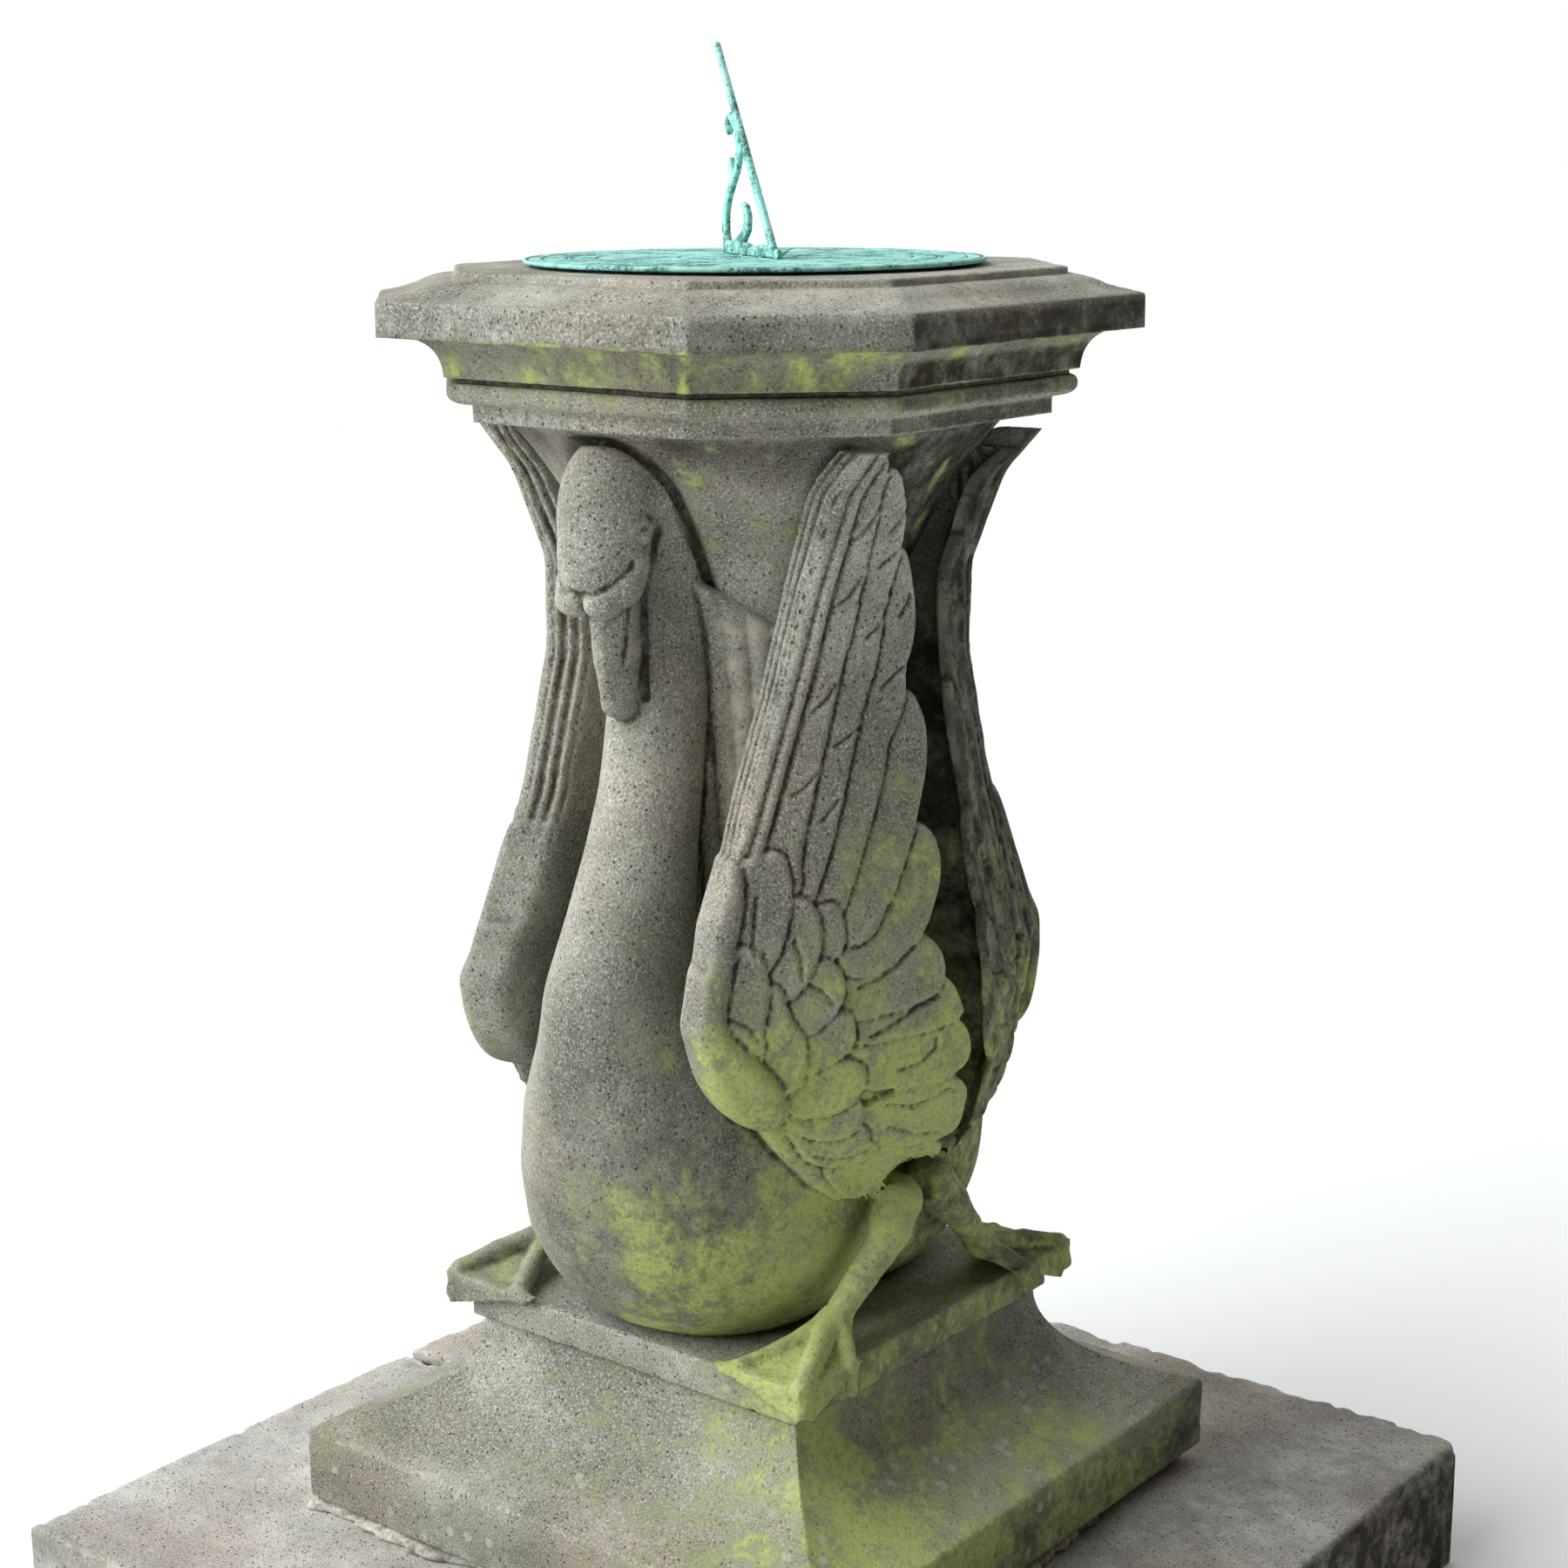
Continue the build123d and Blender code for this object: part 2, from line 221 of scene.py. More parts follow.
def resample(outline, spacing):
    """Points at an even spacing along a line of (distance, ..., height) rows."""
    outline = np.array(outline, float)
    lengths = np.linalg.norm(np.diff(outline[:, [0, -1]], axis=0), axis=1)
    along = np.concatenate([[0], np.cumsum(lengths)])
    count = max(int(along[-1] / spacing), 2)
    at = np.linspace(0, along[-1], count + 1)
    return np.stack([np.interp(at, along, column) for column in outline.T], 1)


def curve(start, turn, end, steps):
    """Points along a curve that leaves start towards turn and arrives at end from it."""
    start, turn, end = (np.array(p, float) for p in (start, turn, end))
    t = np.linspace(0, 1, steps)[:, None]
    return [*((1 - t) ** 2 * start + 2 * t * (1 - t) * turn + t**2 * end)]


def clustered(count):
    """Steps from 0 to 1, closer together near both ends."""
    t = np.linspace(0, 1, count, endpoint=False)
    return t - 0.8 * np.sin(2 * math.pi * t) / (2 * math.pi)


def ring_angles(marks, per_side):
    """Angles around a ring, closer together near the marks."""
    steps = clustered(per_side)
    return np.concatenate([low + (high - low) * steps for low, high in zip(marks, marks[1:])])


def ring(sides, corners, square, circle, height, per_side, sharpness):
    """One ring of a moulding: an octagon, a square or a circle, or something between them."""
    half = math.atan2(min(corners, sides * math.sqrt(2)) * math.sqrt(2) - sides, sides)
    octagon = [i * math.pi / 2 + side * half for i in range(6) for side in (-1, 1)][1:10]
    eighths = [(i + 1) * math.pi / 4 for i in range(9)]
    marks = [(1 - square) * a + square * b for a, b in zip(octagon, eighths)]
    angle = ring_angles(marks, per_side)
    total = 0
    for i in range(4):
        total = total + np.maximum(np.cos(angle - i * math.pi / 2), 0) ** sharpness
        cut = np.maximum(np.cos(angle - (i + 0.5) * math.pi / 2) * sides / corners, 0)
        total = total + (1 - square) * cut**sharpness
    radius = sides * ((1 - circle) * total ** (-1 / sharpness) + circle)
    return np.stack([radius * np.cos(angle), radius * np.sin(angle), np.full(len(angle), height)], 1)


def stack_mesh(name, rings):
    """A closed mesh from a list of rings of points."""
    size = len(rings[0])
    around = np.arange(size)
    onward = (around + 1) % size
    sheets = [
        np.stack([low + around, low + onward, low + size + onward, low + size + around], 1)
        for low in range(0, (len(rings) - 1) * size, size)
    ]
    points = np.concatenate(rings)
    return mesh_object(name, points, np.concatenate(sheets))


def carved(name, outline, per_side, spacing, sharpness=300):
    """A moulded stone from rows of sides, corners, squareness, roundness and height, bottom to top."""
    first, last = outline[0], outline[-1]
    closed = [(1, 1, *first[2:]), *outline, (1, 1, *last[2:])]
    rows = resample(closed, spacing)
    return stack_mesh(name, [ring(*row, per_side, sharpness) for row in rows])


def square_rows(points):
    """Moulding rows of a square stone from (half width, height) points."""
    return [(half, half, 1, 0, height) for half, height in points]


def octagon_rows(side_points, corner_points):
    """Moulding rows of an octagonal stone from the outlines on its sides and on its cut corners."""
    return [(side[0], corner[0], 0, 0, side[1]) for side, corner in zip(side_points, corner_points)]


def weather(piece, node, seed, hollows, arris_wear, fine=0.25):
    """Wear a carved stone inwards: gentle hollows, worn and chipped arrises, and a pecked face."""
    points, normals = object_arrays(piece)
    bend = curvature(piece, points, normals, 6)
    edge = ramp(-bend, 0.06, 0.4)
    depth = hollows * cloud(points, 70, seed) + fine * cloud(points, 9, seed + 7)
    depth += edge * arris_wear * ramp(layered_noise(points, 26, seed + 11), 0.1, 0.9)
    depth += edge * arris_wear * ramp(value_noise(points, 9, seed + 13), 0.5, 0.95)
    depth += 0.5 * ramp(value_noise(points, 6, seed + 17), 0.7, 0.95)
    move_points(piece, points - normals * depth[:, None], node)


# ---------------------------------------------------------------- materials


def srgb(red, green, blue):
    """A colour given in 0 to 255 display values."""
    return [*((np.array([red, green, blue]) / 255) ** 2.2), 1.0]


class Shader:
    """Builds one node material, a line for each node."""

    def __init__(self, name):
        self.material = bpy.data.materials.new(name)
        self.material.use_nodes = True
        self.tree = self.material.node_tree
        self.surface = self.tree.nodes["Principled BSDF"]
        self.place = self.tree.nodes.new("ShaderNodeTexCoord").outputs["Object"]

    def node(self, kind, **inputs):
        node = self.tree.nodes.new("ShaderNode" + kind)
        for key, value in inputs.items():
            self.feed(node.inputs[key.replace("_", " ")], value)
        return node

    def feed(self, socket, value):
        if isinstance(value, bpy.types.NodeSocket):
            self.tree.links.new(value, socket)
        else:
            socket.default_value = value

    def noise(self, size, detail=4, roughness=0.55):
        """Noise from 0 to 1 whose blotches are about size metres across."""
        node = self.node("TexNoise", Vector=self.place, Scale=1 / size, Detail=detail, Roughness=roughness)
        return node.outputs[0]

    def spots(self, size):
        """Distance to scattered points about size metres apart, in units of that size."""
        return self.node("TexVoronoi", Vector=self.place, Scale=1 / size).outputs["Distance"]

    def math(self, kind, a, b):
        node = self.tree.nodes.new("ShaderNodeMath")
        node.operation = kind
        self.feed(node.inputs[0], a)
        self.feed(node.inputs[1], b)
        return node.outputs[0]

    def plus(self, a, b):
        return self.math("ADD", a, b)

    def minus(self, a, b):
        return self.math("SUBTRACT", a, b)

    def times(self, a, b):
        return self.math("MULTIPLY", a, b)

    def ramp(self, value, low, high, bottom=0.0, top=1.0):
        """Map a value from low..high to bottom..top, eased and held at the ends."""
        node = self.tree.nodes.new("ShaderNodeMapRange")
        node.interpolation_type = "SMOOTHSTEP"
        self.feed(node.inputs["Value"], value)
        for key, number in (("From Min", low), ("From Max", high), ("To Min", bottom), ("To Max", top)):
            node.inputs[key].default_value = number
        return node.outputs[0]

    def mix(self, share, a, b):
        node = self.tree.nodes.new("ShaderNodeMix")
        node.data_type = "RGBA"
        self.feed(node.inputs[0], share)
        self.feed(node.inputs[6], a)
        self.feed(node.inputs[7], b)
        return node.outputs[2]

    def painted(self, name):
        node = self.tree.nodes.new("ShaderNodeAttribute")
        node.attribute_name = name
        return node.outputs["Fac"]

    def bump(self, height, depth, strength=1.0):
        return self.node("Bump", Height=height, Distance=depth, Strength=strength).outputs[0]

    def finish(self, colour, roughness, normal, metallic=0.0, specular=0.3):
        self.feed(self.surface.inputs["Base Color"], colour)
        self.feed(self.surface.inputs["Roughness"], roughness)
        self.feed(self.surface.inputs["Normal"], normal)
        self.surface.inputs["Metallic"].default_value = metallic
        self.surface.inputs["Specular IOR Level"].default_value = specular
        return self.material


PALE_GRAIN = srgb(222, 220, 210)
DARK_GRAIN = srgb(78, 76, 72)
PIT = srgb(48, 43, 38)
# The grime colour below also serves as painted shade, and the bleached colour also as painted light.
GRIME_AND_SHADE_COLOUR = srgb(52, 47, 38)
BLEACH_AND_LIGHT_COLOUR = srgb(214, 208, 192)
THIN_ALGAE = srgb(138, 143, 104)
THICK_ALGAE = srgb(182, 193, 110)
LICHEN = srgb(190, 188, 176)


def stone(name, pale, deep, warm, grain=1.0):
    """Weathered sandstone. Painted values add grime with painted shade, algae, lichen, and bleaching with
    painted light.
    """
    s = Shader(name)
    colour = s.mix(s.ramp(s.noise(0.11), 0.35, 0.65), pale, deep)
    colour = s.mix(s.ramp(s.noise(0.19, 3), 0.45, 0.7, 0, 0.75), colour, warm)
    colour = s.mix(s.ramp(s.noise(0.012, 5, 0.7), 0.4, 0.7, 0, 0.6), colour, deep)
    grit = s.noise(0.0016, 3, 0.75)
    colour = s.mix(s.ramp(grit, 0.53, 0.64, 0, 0.75), colour, PALE_GRAIN)
    colour = s.mix(s.ramp(grit, 0.47, 0.35, 0, 0.8), colour, DARK_GRAIN)
    specks = s.spots(0.0055)
    colour = s.mix(s.ramp(specks, 0.2, 0.09, 0, 0.85), colour, PIT)
    pits = s.ramp(specks, 0.26, 0.1)
    # The grime value darkens for real grime and for painted shade; the bleach value lightens for bleaching
    # and for painted light.
    grime = s.painted("grime")
    mottle = s.noise(0.02, 5, 0.7)
    grime_and_shade_share = s.times(grime, s.ramp(mottle, 0.25, 0.6, 0.55, 1.0))
    colour = s.mix(grime_and_shade_share, colour, GRIME_AND_SHADE_COLOUR)
    bleached = s.times(s.painted("bleach"), s.ramp(mottle, 0.3, 0.65))
    colour = s.mix(s.times(bleached, 0.7), colour, BLEACH_AND_LIGHT_COLOUR)
    growth = s.painted("algae")
    clumps = s.ramp(s.noise(0.03, 6, 0.75), 0.25, 0.75, -0.4, 0.4)
    clumps = s.plus(clumps, s.ramp(s.noise(0.007, 4, 0.7), 0.3, 0.7, -0.16, 0.16))
    broken = s.plus(growth, clumps)
    thin = s.ramp(broken, 0.18, 0.75, 0, 0.62)
    thick = s.ramp(broken, 0.5, 1.15, 0, 0.85)
    colour = s.mix(thin, colour, THIN_ALGAE)
    dusting = s.times(thick, s.ramp(s.noise(0.0035, 4, 0.7), 0.3, 0.6, 0.35, 1.0))
    colour = s.mix(dusting, colour, THICK_ALGAE)
    blotch = s.minus(s.spots(0.016), s.ramp(s.noise(0.006, 3), 0.3, 0.7, -0.08, 0.08))
    lichen = s.times(s.ramp(blotch, 0.3, 0.16), s.ramp(s.noise(0.05, 4), 0.45, 0.62))
    lichen = s.times(lichen, s.painted("lichen"))
    colour = s.mix(s.times(lichen, 0.8), colour, LICHEN)
    height = s.plus(s.times(grit, 0.5), s.times(s.noise(0.007, 4, 0.7), 0.9))
    height = s.plus(s.minus(height, s.times(pits, 0.5)), s.times(lichen, 0.3))
    normal = s.bump(height, 0.0011 * grain, 0.9)
    roughness = s.ramp(s.noise(0.02, 4), 0.3, 0.7, 0.82, 0.96)
    return s.finish(colour, roughness, normal, specular=0.25)


def mortar(name, shade, light):
    """Crumbling lime mortar."""
    s = Shader(name)
    lumps = s.noise(0.006, 6, 0.75)
    colour = s.mix(s.ramp(lumps, 0.35, 0.65), shade, light)
    colour = s.mix(s.ramp(s.noise(0.04, 4), 0.5, 0.7, 0, 0.5), colour, srgb(92, 88, 72))
    sand = s.noise(0.0016, 3, 0.7)
    height = s.plus(lumps, s.times(sand, 0.4))
    return s.finish(colour, s.ramp(sand, 0.3, 0.7, 0.85, 0.97), s.bump(height, 0.002), specular=0.25)


def verdigris(name):
    """Bronze under pale green-blue corrosion, with dark metal showing through in streaks."""
    s = Shader(name)
    patches = s.noise(0.018, 6, 0.7)
    fine = s.noise(0.0028, 4, 0.75)
    colour = s.mix(s.ramp(patches, 0.35, 0.68), srgb(176, 236, 225), srgb(138, 216, 204))
    colour = s.mix(s.ramp(fine, 0.5, 0.7, 0, 0.6), colour, srgb(206, 246, 238))
    worn = s.plus(s.times(s.painted("grime"), 0.34), s.times(fine, 0.75))
    worn = s.plus(worn, s.times(patches, 0.5))
    dark = s.ramp(worn, 0.72, 0.86)
    colour = s.mix(s.times(dark, 0.85), colour, srgb(52, 84, 80))
    height = s.minus(s.times(fine, 0.6), dark)
    return s.finish(colour, s.ramp(dark, 0, 1, 0.82, 0.55), s.bump(height, 0.0004), specular=0.35)


def plain_metal(name, shade, roughness):
    """Dull metal of the hidden fixings."""
    s = Shader(name)
    mottle = s.noise(0.008, 4)
    colour = s.mix(s.ramp(mottle, 0.35, 0.65), srgb(*shade), srgb(*(0.7 * part for part in shade)))
    finish = s.ramp(mottle, 0.3, 0.7, roughness - 0.08, roughness + 0.12)
    return s.finish(colour, finish, s.bump(s.noise(0.003), 0.0003), metallic=0.8)


# ---------------------------------------------------------------- colours of the stones and metals

PEDESTAL_STONE = stone("weathered_sandstone", srgb(180, 178, 166), srgb(134, 132, 121), srgb(176, 160, 142))
SLAB_STONE = stone("step_sandstone", srgb(224, 220, 214), srgb(176, 172, 167), srgb(194, 170, 156), 0.8)
MORTAR = mortar("lime_mortar", srgb(150, 144, 130), srgb(232, 228, 214))
JOINT_MORTAR = mortar("weathered_joint_mortar", srgb(64, 60, 52), srgb(112, 106, 94))
VERDIGRIS = verdigris("verdigris_bronze")


def dress(piece, material, slot, *nodes):
    """Give a piece its material, hang it from the root body and hide the CAD nodes it replaces; slot is not
    used.
    """
    piece.data.materials.append(material)
    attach(piece, "root")
    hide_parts(*nodes)


# ---------------------------------------------------------------- step, base, shaft and cap

PER_SIDE = 52
SPACING = 1.9


def slab(name, node, seed):
    """One slab of the step: sawn faces gone rough, with broken arrises."""
    low, high = box_mm(node)
    half = (high - low) / 2
    middle = (high + low) / 2
    top = high[2]
    arris = [(half[0], top - 3), (half[0] - 2, top - 0.8), (half[0] - 5, top)]
    outline = square_rows([(half[0], low[2]), *arris])
    piece = carved(name, outline, PER_SIDE * 2, SPACING * 2, sharpness=260)
    points, _ = object_arrays(piece)
    points[:, 1] = points[:, 1] * half[1] / half[0] + middle[1]
    move_points(piece, points)
    points, normals = object_arrays(piece)
    side = np.minimum(half[0] - abs(points[:, 0]), half[1] - abs(points[:, 1] - middle[1]))
    rim = ramp(side + (top - points[:, 2]), 16, 2)
    breaks = layered_noise(points, 34, seed + 5)
    depth = 0.8 * cloud(points, 60, seed) + 0.5 * cloud(points, 14, seed + 3)
    depth += 5 * rim * ramp(breaks, 0.05, 0.7)
    depth += 2.5 * rim * ramp(value_noise(points, 9, seed + 9), 0.2, 0.9)
    move_points(piece, points - normals * depth[:, None], node)
    # Random stains, plus painted shade: the slab darkens towards the right, where the pedestal's shadow
    # falls and the stone is also darker, and on its right-facing and upright faces.
    darkening = 0.1 + 0.3 * layered_noise(points, 90, seed + 21) + 0.3 * ramp(points[:, 0], 60, 330)
    darkening += 0.65 * ramp(normals[:, 0], 0.6, 0.95) + 0.3 * ramp(normals[:, 2], 0.6, 0.2)
    paint(
        piece,
        grime=darkening,
        bleach=0.9 * rim * ramp(breaks, -0.1, 0.4),
        algae=0.25 * ramp(layered_noise(points, 120, seed + 22), 0.1, 0.7),
        lichen=0.6 * rim,
    )
    dress(piece, SLAB_STONE, "step_stone", node)


def crumbs(name, node, seed, spacing, wear, squeeze):
    """A bed of mortar with a ragged edge, squeezed out past the stone above it in places."""
    low, high = box_mm(node)
    middle = (high + low) / 2
    reach = (high[0] - low[0]) / 2 + squeeze
    outline = square_rows([(reach, low[2]), (reach, middle[2]), (reach - squeeze / 2, high[2])])
    piece = carved(name, outline, PER_SIDE * 3, spacing, sharpness=260)
    points, _ = object_arrays(piece)
    inward = -(points - middle) / np.maximum(abs(points - middle).max(axis=1, keepdims=True), 1)
    inward[:, 2] = 0
    ragged = wear * ramp(layered_noise(points, 40, seed, 4), -0.5, 0.3)
    ragged += 3 * abs(value_noise(points, 5, seed + 5))
    move_points(piece, points + inward * ragged[:, None])
    dress(piece, MORTAR, "mortar", node)


def base_block():
    """Base block: rounded nose, long hollow up to the joint."""
    half, _, top = box_mm("base_block")[1]
    nose_bottom, nose_top = 50, 55
    shoulder = half - 5
    nose = curve((half, nose_bottom), (half, nose_top), (shoulder, nose_top), 5)
    hollow = curve((shoulder, nose_top), (141.5, 84), (140, top), 30)
    rows = square_rows([(half - 3, 0), (half, 3), *nose, *hollow])
    piece = carved("base", rows, PER_SIDE, SPACING * 1.3, sharpness=240)
    weather(piece, "base_block", 50, 1.1, 1.6)
    points, normals = object_arrays(piece)
    x, y, z = points.T
    near_foot = np.exp(-(((x - 150) ** 2 + (y + 150) ** 2) / 90**2)) * ramp(normals[:, 0], -0.6, 0.5)
    patches = cloud(points, 80, 61)
    # Random stains and a darker band low on the flange.
    darkening = 0.1 + 0.25 * layered_noise(points, 60, 62) + 0.25 * ramp(z, nose_bottom, 20) * ramp(z, 0, 12)
    nose_edge = ramp(z, nose_bottom, 56) * ramp(z, 75, 57)
    paint(
        piece,
        algae=0.18 + 0.75 * near_foot + 0.75 * ramp(x - abs(y) * 0.6, 60, 190) * patches + 0.2 * patches,
        # Painted shade on the right-facing faces.
        grime=darkening + 0.42 * ramp(normals[:, 0], 0.35, 0.8),
        bleach=0.75 * nose_edge * ramp(layered_noise(points, 50, 63), -0.3, 0.4),
        lichen=0.7 * ramp(z, 120, 70),
    )
    dress(piece, PEDESTAL_STONE, "pedestal_stone", "base_block")


# The core's bell is round and flares along an arc to the underside of the neck moulding
PLINTH_BOTTOM, NECK_TOP = (corner[2] for corner in box_mm("shaft_core"))
NECK_BOTTOM = 769
CORE_RADIUS = 86
BELL_RADIUS = 168
FLARE_START = 560
FLARE_RISE = NECK_BOTTOM - FLARE_START
FLARE_SPREAD = BELL_RADIUS - CORE_RADIUS
FLARE_RADIUS = (FLARE_RISE**2 + FLARE_SPREAD**2) / (2 * FLARE_SPREAD)


def core_radius(z):
    """Radius of the round core at each height."""
    lifted = np.clip(z - FLARE_START, 0, FLARE_RISE)
    return CORE_RADIUS + FLARE_RADIUS - np.sqrt(FLARE_RADIUS**2 - lifted**2)


def neck_outline(fillet, roll):
    """The neck's fillet and roll as (distance, height) points."""
    soffit, middle = 780.5, 789
    under = curve((fillet, soffit), (roll, soffit), (roll, middle), 10)
    over = curve((roll, middle), (roll, NECK_TOP), (roll - 5, NECK_TOP), 8)
    return [(fillet, NECK_BOTTOM), (fillet, NECK_BOTTOM + 1), (fillet, soffit - 0.5), *under, *over]


def core_rows():
    """The core's moulding: square plinth, round bell turning octagonal, and the neck."""
    edge = [(0, PLINTH_BOTTOM), (0, PLINTH_TOP - 2), (0.6, PLINTH_TOP - 0.6), (2, PLINTH_TOP)]
    plinth = square_rows([(PLINTH_HALF - inset, height) for inset, height in edge])
    bell = [(CORE_RADIUS, CORE_RADIUS, 1, 1, height) for height in (PLINTH_TOP, 400)]
    steps = 40
    for i, turn in enumerate(np.linspace(0, math.asin(FLARE_RISE / FLARE_RADIUS), steps)):
        radius = CORE_RADIUS + FLARE_RADIUS * (1 - math.cos(turn))
        bell.append((radius, radius, 1 - i / (steps - 1), 1, FLARE_START + FLARE_RADIUS * math.sin(turn)))
    return plinth + bell + octagon_rows(neck_outline(177, 189.5), neck_outline(187.6, 204.4))


def shaft_core():
    """Plinth, bell and neck moulding in one stone, with a deep crease beside each swan's neck."""
    piece = carved("core", core_rows(), PER_SIDE, SPACING)
    weather(piece, "shaft_core", 70, 0.6, 1.2)
    points, normals = object_arrays(piece)
    x, y, z = points.T
    head_middle, head_reach = 726, 37.5
    beside_neck = np.hypot(x, np.maximum(z - head_middle, 0)) - head_reach
    crease = np.exp(-((beside_neck / 4.5) ** 2)) * ramp(abs(y), 40, 60)
    crease *= ramp(z, 470, 520) * ramp(z, 768, 762)
    outward = np.stack([x, y, 0 * z], 1) / np.maximum(np.hypot(x, y), 1)[:, None]
    move_points(piece, points - outward * (9 * crease)[:, None], "shaft_core")
    points, normals = object_arrays(piece)
    x, y, z = points.T
    streaks = ramp(value_noise(points * (1, 1, 0.18), 13, 72), 0.0, 0.8)
    streaks *= ramp(z, 620, 740) * ramp(z, 772, 760)
    # Painted shade: in the crease beside each neck, in a band just under the neck moulding, on the
    # right-facing faces and on the core between the two swans; the noise is random staining.
    darkening = 0.14 + 0.9 * crease + 0.6 * ramp(z, 772, 762) * ramp(z, 720, 768)
    darkening += 0.25 * layered_noise(points, 60, 73) + 0.6 * ramp(normals[:, 0], 0.75, 0.98)
    darkening += 0.8 * ramp(abs(y), 62, 30) * ramp(z, 165, 200) * ramp(z, 769, 766)
    paint(
        piece,
        algae=0.75 * streaks + 0.42 * ramp(z, 772, 790) + 0.7 * ramp(z, 175, 150) * ramp(x, 0, 120),
        grime=darkening,
        bleach=0.35 * ramp(layered_noise(points, 40, 74), 0.1, 0.7),
        lichen=0.4 * ramp(z, 200, 150),
    )
    dress(piece, PEDESTAL_STONE, "pedestal_stone", "shaft_core")


CAP_BOTTOM, CAP_TOP = (corner[2] for corner in box_mm("cap_stone"))


def cap_outline(joint, soffit, fascia, fillet):
    """The cap's hollow, flat fascia, swept top and fillet as (distance, height) points."""
    hollow_top, fascia_top, sweep_middle, sweep_top = 824, 845, 852.5, 859
    middle = (fascia + fillet) / 2
    cavetto = curve((joint, CAP_BOTTOM), (joint + 1.5, hollow_top), (soffit, hollow_top), 20)
    sweep = curve((fascia - 1.5, 847), ((fascia + middle) / 2, 848), (middle, sweep_middle), 8)
    swell = curve((middle, sweep_middle), ((fillet + middle) / 2, sweep_top), (fillet, sweep_top), 8)
    edge = [(fascia, hollow_top), (fascia, fascia_top)]
    return [*cavetto, *edge, *sweep, *swell[1:], (fillet, 859.6), (fillet, 862.6), (fillet - 1.4, CAP_TOP)]


def cap_stone():
    """Eight-sided cap, greenest in its hollow."""
    sides = cap_outline(190.5, 214, 222, 182.5)
    corners = cap_outline(205.5, 236.5, 247, 196.8)
    piece = carved("cap", octagon_rows(sides, corners), PER_SIDE, SPACING * 0.8)
    weather(piece, "cap_stone", 90, 0.4, 1.0, fine=0.15)
    points, normals = object_arrays(piece)
    z = points[:, 2]
    cove = ramp(z, 830, 822)
    streaks = ramp(value_noise(points * (1, 1, 0.12), 9, 92), -0.2, 0.7)
    damp = ramp(layered_noise(points, 60, 93), -0.2, 0.5)
    east = ramp(normals[:, 0], 0.75, 0.98)
    fascia = ramp(z, 821, 824.5) * ramp(z, 846, 840)
    # Painted shade in the hollow under the fascia and on the right-facing faces; the fascia's own darker
    # tone and the noise are stains.
    darkening = 0.12 + 0.25 * layered_noise(points, 50, 94) + 0.16 * fascia + 0.36 * cove
    darkening += 0.45 * east * (1 + cove)
    paint(
        piece,
        algae=cove * (0.46 + 0.8 * streaks * damp) * (1 - 0.85 * east),
        # More painted shade on the fascia's faces turned to the right.
        grime=darkening + 0.2 * ramp(normals[:, 0], 0.5, 0.72) * fascia,
        bleach=0.7 * ramp(z, 845, 849) * ramp(layered_noise(points, 30, 95), -0.5, 0.4),
        lichen=0.2 * cove,
    )
    dress(piece, PEDESTAL_STONE, "pedestal_stone", "cap_stone")


slab("slab_front", "step_slab_front", 3)
slab("slab_rear", "step_slab_rear", 40)
crumbs("bedding", "bedding_mortar", 5, 3, 14, 13)
base_block()
shaft_core()
cap_stone()


# ---------------------------------------------------------------- swans
# One half of the front swan is sculpted as a distance field, then mirrored. The wing is a curved
# sheet: s runs back from its leading edge along the wing, z is the height, and the feathers are
# laid on it one over another, each as an outline of (s, z) points.

STEP = 1.8
SWAN_LOW, SWAN_HIGH = box_mm("front_swan")

# Height, x and y of the leading edge, x of the rear edge at the gap between the swans
WING = np.array(
    [
        (240, 112, -84, 135),
        (250, 112, -84, 140),
        (300, 112, -122, 172),
        (345, 106, -150, 185),
        (400, 99, -181, 180),
        (460, 91, -160, 168),
        (520, 91, -131, 160),
        (610, 97, -97, 143),
        (670, 107, -86, 141),
        (730, 133, -91, 150),
        (770, 170, -98, 175),
    ],
    float,
)
WING_BULGE = 10
WING_BACK = -7
WING_BOTTOM = 238
EDGE_THICKNESS = 24
PANEL_BOTTOM = 380
BELLY_BOTTOM = 163

# Breast, belly and neck: height, y of the centre, half width, half depth
TRUNK = np.array(
    [
        (150, -50, 60, 60),
        (160, -50, 84, 88),
        (190, -52, 108, 117),
        (225, -58, 116, 133),
        (270, -62, 115, 139),
        (320, -80, 100, 122),
        (365, -110, 72, 88),
        (407, -140, 50, 58),
        (451, -134, 42, 44),
        (495, -122, 37, 38),
        (534, -112, 34, 35),
        (600, -101, 33, 34),
        (690, -97, 35, 36),
        (780, -106, 34, 35),
    ],
    float,
)

